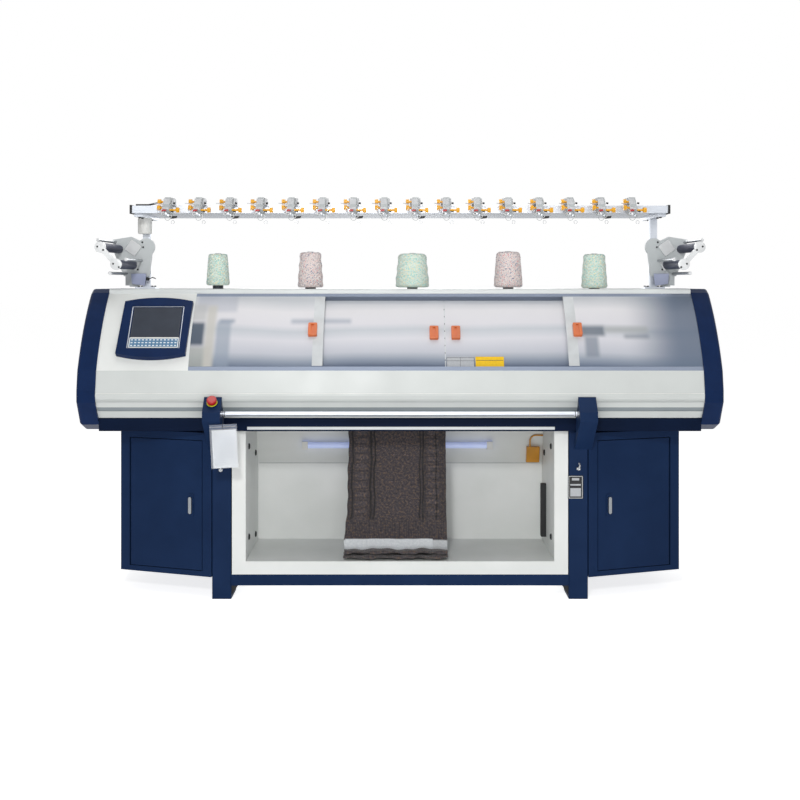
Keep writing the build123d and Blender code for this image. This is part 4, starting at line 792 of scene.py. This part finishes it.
def prism(outline, axis, low, high):
    """A plate with an outline in the plane square to an axis (0 X, 1 Y, 2 Z), between two places on it."""
    outline = np.array(outline, float)
    count = len(outline)
    ends = [np.insert(outline, axis, place, axis=1) for place in (low, high)]
    faces = grid_faces(2, count, wrap=True).tolist()
    faces += [tuple(range(count)), tuple(range(count, 2 * count))]
    return np.concatenate(ends), faces


def hull_of_discs(first, second, radius, count=24):
    """The outline of a belt round two discs of one radius."""
    first, second = np.array(first), np.array(second)
    lean = np.arctan2(*(second - first)[::-1])
    turn = np.linspace(-np.pi / 2, np.pi / 2, count) + lean
    half = radius * np.stack([np.cos(turn), np.sin(turn)], -1)
    return np.concatenate([second + half, first - half])


def ring(middle, radius, wire, across, up, sides=8):
    """A closed wire ring."""
    return tube(arc(middle, radius, 0, 345, across, up, 24), wire, sides, closed=True)


RIGHTWARD = (1, 0, 0)
FRONTWARD = (0, -1, 0)
UPWARD = (0, 0, 1)
DOWNWARD = (0, 0, -1)
SIDES = ((-1, "left"), (1, "right"))

# Yarn tension units: 16 along the rail. The parts of one are made at the rail's middle and repeated
UNIT_PITCH = 132
UNIT_OFFSETS = [((number - 7.5) * UNIT_PITCH / 1000, 0, 0) for number in range(16)]
UNIT_FRONT = 204
UNIT_LOW = 1606
UNIT_COVER = [(256, 1645), (276, 1668), (288, 1675), (312, 1675), (328, 1660), (328, 1645)]
UNIT_SLIDE = [(201, 1622), (201, 1628), (240, 1671), (246, 1671)]
GUIDE_WEDGE = [(0.004, 1.594), (0.042, 1.596), (0.038, 1.586), (0.016, 1.584)]


def on_unit(x, depth, z):
    """A place on the unit at the rail's middle: mm across, behind its front and above its lower edge."""
    return at(x, UNIT_FRONT + depth, UNIT_LOW + z)


def tension_details():
    """The covers, sloping slides, levers, discs, eyes, wires and guides of the tension units."""

    def row_of(name, parts, material, bevel=0.0):
        piece(name, copies(parts, UNIT_OFFSETS), material, bevel=bevel)

    row_of("tension_covers", [prism(side_view(UNIT_COVER), 0, -0.022, 0.022)], UNIT_GREY, 0.003)
    row_of("tension_slides", [prism(side_view(UNIT_SLIDE), 0, -0.017, 0.010)], UNIT_GREY, 0.0012)
    lever = slab(on_unit(-8, -3, 12), (16, 9, 7))
    catch = slab(on_unit(-15, -8, 9), (5, 14, 5))
    row_of("tension_levers", [lever, catch], RED, 0.0012)
    discs = []
    for radius, *place in ((8.5, -3, -5, -3), (7.5, 7, -4, -9)):
        profile = [(0, -2), (radius, -1.6), (radius, 0), (radius - 2.5, 1), (0, 1.6)]
        discs.append(turned(profile, on_unit(*place), FRONTWARD))
    row_of("tension_discs", discs, STEEL)
    middles = (on_unit(-13, -6, -2), on_unit(14, 20, -12))
    row_of("ceramic_eyes", [ring(middle, 0.006, 0.0014, RIGHTWARD, UPWARD) for middle in middles], CERAMIC)
    arm = tube([on_unit(-12, 30, 39), on_unit(-34, 8, 41), on_unit(-52, 2, 42)], 0.0016)
    spring = tube(arc(on_unit(-26, -2, 8), 0.011, 90, 300, RIGHTWARD, UPWARD), 0.0008, 6)
    drop = tube(arc(on_unit(22, 34, -36), 0.007, -80, 250, RIGHTWARD, UPWARD), 0.0009, 6)
    row_of("tension_wires", [arm, spring, drop], WIRE)
    rod = tube([on_unit(10, 12, 14), on_unit(30, 12, 6)], 0.0028)
    row_of("tension_rods", [rod], BLACK)
    wedge = prism(GUIDE_WEDGE, 1, BELLY_Y + 0.226, BELLY_Y + 0.240)
    pin = tube([on_unit(22, 44, 46), on_unit(31, 44, 44)], 0.004)
    guides = copies([wedge], UNIT_OFFSETS[::2]) + copies([pin], UNIT_OFFSETS)
    piece("yarn_guide_wedges", guides, BLACK, bevel=0.001)


# Cap screw: a head with a round key hole
CAP_SCREW = [(0, -2), (5.5, -2), (5.5, 4), (4.5, 5), (2.5, 5), (2.2, 3), (0, 3)]


def rail_screws():
    """Black cap screws at the ends of the rail and on the posts' feet and arms."""
    parts = []
    for side, _ in SIDES:
        feet = [at(side * x, depth, 1293) for depth in (488, 552) for x in (1105, 1165)]
        arms = [at(side * 1135, depth, 1598) for depth in (360, 420, 620)]
        parts += [turned(CAP_SCREW, foot, sides=16) for foot in feet]
        parts += [turned(CAP_SCREW, foot, DOWNWARD, 16) for foot in arms]
    piece("rail_screws", parts, BLACK)


# Side feeders: places across and up from the machine's middle, mirrored for the left one
FEEDER_ROLLERS = np.array([(1.256, 1.461), (1.190, 1.389)])
FEEDER_RODS = np.array([(1.272, 1.492), (1.155, 1.410), (1.222, 1.352)])
FEEDER_SQUARE = np.array([1.191, 1.467])
PLATE_SCREWS = np.array([(1.150, 1.492), (1.146, 1.470), (1.170, 1.370)])
ROLLER_SCREWS = np.array([(-0.013, -0.012), (0.011, 0.002)])
FLAP_OUTLINE = np.array([(1.128, 1.352), (1.196, 1.352), (1.192, 1.306), (1.134, 1.298)])
ARM_OUTLINE = np.array([(1.150, 1.420), (1.162, 1.420), (1.184, 1.366), (1.176, 1.362)])
SMALL_SCREW = [(0, -1), (4, -1), (4, 2), (3, 3), (0, 3)]
BOSS = [(0, -2), (24, -2), (24, 4), (21, 6), (8, 6), (0, 5)]
ROD_TIP = [(0, -12), (7.5, -12), (7.5, 2), (5, 4), (0, 4)]
POST_KNOB = [(0, -2), (7, -2), (8, 10), (4, 13), (0, 13)]


def feeder_details():
    """The feeders' white square plates, bearing plates, rods and screws, and the lever at the left post."""
    rear = BELLY_Y + 0.496
    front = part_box("right_upper_roller")[0][1]
    for side, label in SIDES:
        mirror = np.array([side, 1])

        def facing(profile, centres, y, sides):
            return [turned(profile, (x, y, z), FRONTWARD, sides) for x, z in centres * mirror]

        turn = np.radians(35) * side + np.pi / 4 + np.arange(4) * np.pi / 2
        square = FEEDER_SQUARE * mirror + 0.040 * np.stack([np.cos(turn), np.sin(turn)], -1)
        piece(f"{label}_feeder_square", [prism(square, 1, rear - 0.010, rear - 0.002)], CERAMIC, bevel=0.003)
        link = hull_of_discs(*FEEDER_ROLLERS * mirror, 0.011)
        link = prism(link, 1, front - 0.0065, front - 0.0015)
        piece(f"{label}_bearing_plate", [link], CERAMIC, bevel=0.0012)
        piece(f"{label}_bearing_bosses", facing(BOSS, FEEDER_ROLLERS, front - 0.006, 32), CERAMIC)
        screws = []
        for roller in FEEDER_ROLLERS:
            screws += facing(SMALL_SCREW, roller + ROLLER_SCREWS, front - 0.0119, 12)
        screws += facing(SMALL_SCREW, PLATE_SCREWS, rear - 0.009, 12)
        piece(f"{label}_feeder_screws", screws, BLACK)
        rods = [tube([(x, front + 0.02, z), (x, rear, z)], 0.0062, 16) for x, z in FEEDER_RODS * mirror]
        piece(f"{label}_feeder_rods", rods, STEEL)
        piece(f"{label}_rod_tips", facing(ROD_TIP, FEEDER_RODS, front + 0.02, 20), CERAMIC)
        flap = prism(FLAP_OUTLINE * mirror, 1, rear - 0.03, rear - 0.026)
        piece(f"{label}_feeder_flap", [flap], FLAP, bevel=0.001)
        arm = prism(ARM_OUTLINE * mirror, 1, rear - 0.022, rear - 0.016)
        piece(f"{label}_feeder_arm", [arm], CERAMIC, bevel=0.001)
    knob = turned(POST_KNOB, (-1.119, rear - 0.03, 1.328), FRONTWARD, 20)
    bent = [(-1.119, rear - 0.02, 1.328), (-1.102, rear - 0.02, 1.335), (-1.088, rear - 0.02, 1.330)]
    piece("post_lever", [knob, tube(bent, 0.0022)], BLACK)


tension_details()
rail_screws()
feeder_details()


# Console: its screen is tilted as the window's middle is; the axes run across, up and out of it
CONSOLE_AXES = np.array([RIGHTWARD, (0, WINDOW_OUT[1], -WINDOW_OUT[0]), (0, *WINDOW_OUT)])
CONSOLE_MIDDLE = np.array([-1.015, *(ARC_MIDDLE + WINDOW_RADIUS * WINDOW_OUT)])

# Bars and keys on the console, in mm from its middle: left, bottom, right and top of each. A key is 8.6 by 6 mm
SILVER_BARS = [(-109, 102.5, 109, 106), (-109, -106, 109, -102.5)]
SILVER_BARS += [(-109, -102.5, -105.5, 102.5), (105.5, -102.5, 109, 102.5)]
SCREEN_BARS = [(-98, 96, 98, 98), (-98, -50, 98, -48), (-98, -48, -96, 96), (96, -48, 98, 96)]
KEYPAD_BARS = [(-98, -56.8, 98, -50.4), (-102, -101.5, 102, -97.5)]
KEYPAD_BARS += [(-102, -97.5, -98.5, -51), (98.5, -97.5, 102, -51)]
KEYS = [(column * 196 / 13, row * 13.94 - 77) for column in range(-6, 7) for row in (-1, 0, 1)]
KEYS = [(x - 4.3, y - 3.0, x + 4.3, y + 3.0) for x, y in KEYS]


def on_console(outlines, low, high):
    """Blocks on the console, between two distances out of it in mm."""
    blocks = [block((left, bottom, low), (right, top, high)) for left, bottom, right, top in outlines]
    return [(CONSOLE_MIDDLE + points / 1000 @ CONSOLE_AXES, faces) for points, faces in blocks]


def console_details():
    """The silver frame, the dark rim round the display, the pale keys and the keypad's light border."""
    piece("console_silver_frame", on_console(SILVER_BARS, 6.6, 10), ALUMINIUM, bevel=0.0008)
    piece("console_key_caps", on_console(KEYS, 9.6, 10.5), KEY_PALE, bevel=0.0004)
    piece("screen_bezel", on_console(SCREEN_BARS, 9.4, 10.4), GRAPHITE, bevel=0.0004)
    piece("keypad_border", on_console(KEYPAD_BARS, 9.4, 10.3), CREAM, bevel=0.0004)


# How far a label on a middle cover stands from the window's arc: these covers run on the inner track
INNER_FACE = -0.0238


def cover_details():
    """Plain label fields on the middle right cover, and the overlap profiles and seam of the covers."""
    body = "cover_middle_right_body"

    def on_cover(name, plates, material):
        piece(name, plates, material, body)

    on_cover("silver_label", [curved_plate(0.192, 0.306, 0.959, 1.018, INNER_FACE, 0.0006)], SILVER)
    on_cover("yellow_label", [curved_plate(0.311, 0.428, 0.959, 1.018, INNER_FACE, 0.0006)], LABEL_YELLOW)
    rule = INNER_FACE + 0.0007
    half = 0.0006
    rules = [curved_plate(x - half, x + half, 0.962, 1.015, rule, 0.0004) for x in (0.193, 0.2485, 0.305)]
    rules += [curved_plate(0.193, 0.305, z - half, z + half, rule, 0.0004, 3) for z in (0.963, 1.001, 1.014)]
    on_cover("label_rules", rules, GRAPHITE)
    on_cover("yellow_label_rule", [curved_plate(0.314, 0.425, 1.002, 1.0035, rule, 0.0004, 3)], GRAPHITE)
    for cover, left, right in (("cover_left", -0.361, -0.3175), ("cover_right", 0.6915, 0.735)):
        strip = curved_plate(left, right, 0.972, 1.250, 0.0001, 0.0008, 24)
        piece(f"{cover}_edge_profile", [strip], PROFILE, f"{cover}_body")
    on_cover("middle_seam", [curved_plate(0.1855, 0.1895, 0.962, 1.232, INNER_FACE, 0.0012, 24)], PROFILE)
    clip = INNER_FACE + 0.0014
    clips = [curved_plate(0.1855, 0.1875, z, z + 0.006, clip, 0.0006, 3) for z in np.linspace(0.97, 1.21, 9)]
    on_cover("seam_clips", clips, GRAPHITE)


# The stop button's yellow ring and the thin black disc inside it, which paints the shade under the button's head:
# radius, and distance along the button's axis
STOP_COLLAR = [(18, 6.6), (18, 7.1), (21.2, 7.1), (21.8, 6.6), (21.8, 4.5), (21.2, 4.5)]
STOP_SHADE_DISC = [(12.2, 6.6), (12.2, 7.05), (18.1, 7.05), (18.1, 6.6)]
STOP_FOOT = (-760, -25.2, 823.8)
FASCIA_SLOPE = np.pi / 4
# The painted shade band on the fascia's lower face: (y, z) in mm behind the belly and above the floor
FASCIA_SHADE_BAND = [(24.4, 803), (26, 803), (38.6, 786), (37, 786)]
FASCIA_HALF = 1.2383
HOOKS = ((-744, 535), (741, 541))
HOOK_NUT = [(0, -1), (10, -1), (10, 3), (7, 6), (0, 6)]


def front_details():
    """The fascia's seam, its painted shade band and painted highlight, rings and a painted dark reflection on the
    bar, painted highlights on the bracket bends, the stop's ring with painted shade inside, leg hooks and a plain
    black plate.
    """
    piece("fascia_seam", [slab(at(0, 1.2, 827), (2476, 5, 1.6))], GREY)
    rings = [slab(at(x, -26, 781), (3, 23, 23)) for x in (-718, -708, 708, 718)]
    piece("bar_end_rings", rings, GRAPHITE, "operating_bar_body", bevel=0.001)
    # A dark line along the bar's front, between its two highlights: a painted dark reflection
    piece("bar_dark_reflection_line", [slab(at(0, -36.4, 777), (1404, 2, 1.8))], GRAPHITE, "operating_bar_body")
    # A grey strip on the fascia's lower face above the bar: painted shade
    piece("fascia_shade_band", [prism(side_view(FASCIA_SHADE_BAND), 0, -FASCIA_HALF, FASCIA_HALF)], FASCIA_SHADE_GREY)
    # A pale line along the fascia's fold: a painted highlight
    piece("fascia_fold_highlight", [slab(at(0, 0.9, 861), (2476, 1.4, 1.6))], CREAM)
    # Grey-blue strips on the brackets' front bends: painted highlights
    piece("bracket_bend_highlights", [slab(at(side * 760, -59.4, 785), (58, 1.0, 5)) for side, _ in SIDES], BRACKET_BEND_HIGHLIGHT)
    out = np.array([0, -np.sin(FASCIA_SLOPE), np.cos(FASCIA_SLOPE)])
    # The black disc inside the ring is painted shade under the button's head
    for name, profile, material in (("stop_collar", STOP_COLLAR, LEMON), ("stop_shade_disc", STOP_SHADE_DISC, BLACK)):
        piece(name, [turned(profile, at(*STOP_FOOT), out, 40)], material, closed=False)
    hooks = [turned(HOOK_NUT, at(x, 100, z), FRONTWARD, 6) for x, z in HOOKS]
    for x, z in HOOKS:
        bent = [at(x, 94, z), at(x, 88, z + 2), at(x + 3, 84, z + 16), at(x + 1, 90, z + 24)]
        hooks.append(tube(bent, 0.0035))
    piece("leg_hooks", hooks, WIRE)
    piece("leg_plate", [slab(at(728, 99.2, 464), (64, 1.2, 96))], BLACK, bevel=0.0004)
    rim = [slab(at(728, 98.4, z), (58, 0.6, 1.6)) for z in (419, 509)]
    rim += [slab(at(x, 98.4, 464), (1.6, 0.6, 91)) for x in (700, 756)]
    piece("leg_plate_rim", rim, PAPER)
    fields = ((443, 44, 34), (474, 44, 6), (497, 30, 10))
    piece("leg_plate_field", [slab(at(728, 98.4, z), (wide, 0.6, tall)) for z, wide, tall in fields], SILVER)


BIN_PLUG = [(0, -1), (13, -1), (13, 3), (9, 6), (0, 6)]
PLUG_PLACES = ((200, 620), (200, 238), (440, 560), (440, 200))
GUSSET = np.array([(0.700, 0.056), (0.700, 0.014), (0.672, 0.056)])
SOCKET_LENGTH = 0.0263
SOCKET_PROUD = 0.0004


def bin_details():
    """Plugs in the bin's side walls, its seam and lip, the light tube's sockets and the feet's gussets."""
    plugs = []
    for side, _ in SIDES:
        for depth, height in PLUG_PLACES:
            plugs.append(turned(BIN_PLUG, at(side * 640, depth, height), (-side, 0, 0), 20))
    piece("bin_plugs", plugs, BLACK)
    piece("bin_back_seam", [slab(at(0, 551, 498), (1270, 2.5, 2))], GREY)
    gussets = [prism(GUSSET * (side, 1), 1, BELLY_Y + 0.112, BELLY_Y + 0.118) for side, _ in SIDES]
    piece("foot_gussets", gussets, BLACK)
    piece("tube_backing", [slab(at(0, 528, 604), (840, 1.5, 5))], ALUMINIUM)
    low, high = (np.array(corner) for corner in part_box("light_tube"))
    ends = (low[0] - SOCKET_PROUD, low[0] + SOCKET_LENGTH), (high[0] - SOCKET_LENGTH, high[0] + SOCKET_PROUD)
    sockets = []
    for left, right in ends:
        near = (left, low[1] - SOCKET_PROUD, low[2] - SOCKET_PROUD)
        sockets.append(block(near, (right, low[1] + 0.02, high[2] + SOCKET_PROUD)))
    piece("tube_sockets", sockets, CREAM)
    piece("bin_lip", [slab(at(4, 61, 713), (1266, 2.6, 12))], PALE_GREY, bevel=0.0008)


# The pocket hangs turned by a few degrees. Places on it are mm across and up from its top, and out of it
SLEEVE_LEAN = np.radians(3.0)
SLEEVE_TOP = (-712, -55, 742)
SLEEVE_LENGTH = 176
SLEEVE_BOW = 1.5
# The lines of print on the paper, from the top down, as shares of the full width
LINE_SHARES = (0.5, 0.8, 1, 1, 0.9, 1, 1, 0.7, 1, 1, 1, 0.9, 1, 0.6, 0.5, 0.4)
LINE_PITCH = 8
# The string goes up from the pocket, over the bar and down behind it
STRING = [(-712.5, -50, 752), (-713, -44, 766), (-713, -38.6, 781), (-713, -34, 790.5), (-713, -26, 793.6)]
STRING += [(-713, -18, 790.5), (-713, -13.4, 781), (-713, -19, 770), (-713, -36, 762), (-712.5, -49, 752)]


def document_sleeve():
    """A clear film pocket with a folded seam at its top, a sheet of paper with faint lines and a string."""

    def hung(x, z, proud):
        """Places on the pocket: turned by its lean, and bowed to the front with the square of the drop."""
        x, z, proud = np.broadcast_arrays(x, z, proud)
        across = x * np.cos(SLEEVE_LEAN) - z * np.sin(SLEEVE_LEAN)
        up = z * np.cos(SLEEVE_LEAN) + x * np.sin(SLEEVE_LEAN)
        front = proud + SLEEVE_BOW * (z / SLEEVE_LENGTH) ** 2
        return at(*SLEEVE_TOP) + np.stack([across, -front, up], -1) / 1000

    def leaf(left, right, low, high, proud, thick, rows=10):
        """A thin sheet that follows the pocket's bow."""
        heights = np.linspace(low, high, rows)[:, None]
        across = np.array([left, right, right, left])
        out = np.array([proud, proud, proud + thick, proud + thick])
        faces = grid_faces(rows, 4, wrap=True).tolist()
        faces += [(0, 1, 2, 3), tuple(range(4 * rows - 4, 4 * rows))]
        return hung(across, heights, out).reshape(-1, 3), faces

    made = piece("document_sleeve_film", [leaf(-55, 55, -SLEEVE_LENGTH, 0, 0.9, 0.3)], FILM)
    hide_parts("document_sleeve")
    piece("document_sleeve_paper", [leaf(-47, 51, -174, -22, -0.2, 0.7)], PAPER)
    seams = [leaf(-55, 55, low, low + 4, 1.2, 0.5) for low in (-17, -6)]
    piece("document_sleeve_seam", seams, SEAM_FILM)
    lines = []
    for number, share in enumerate(LINE_SHARES):
        low = -40 - LINE_PITCH * number
        lines.append(leaf(-40, -40 + 84 * share, low - 1.1, low, 0.5, 0.12))
    piece("document_sleeve_lines", lines, FAINT)
    string = [hung(-2, -19, 2.2), hung(-2, -4, 2.4)] + [at(*place) for place in STRING]
    piece("document_sleeve_string", [tube(string, 0.0011, 8)], BLACK)


console_details()
cover_details()
front_details()
bin_details()
document_sleeve()
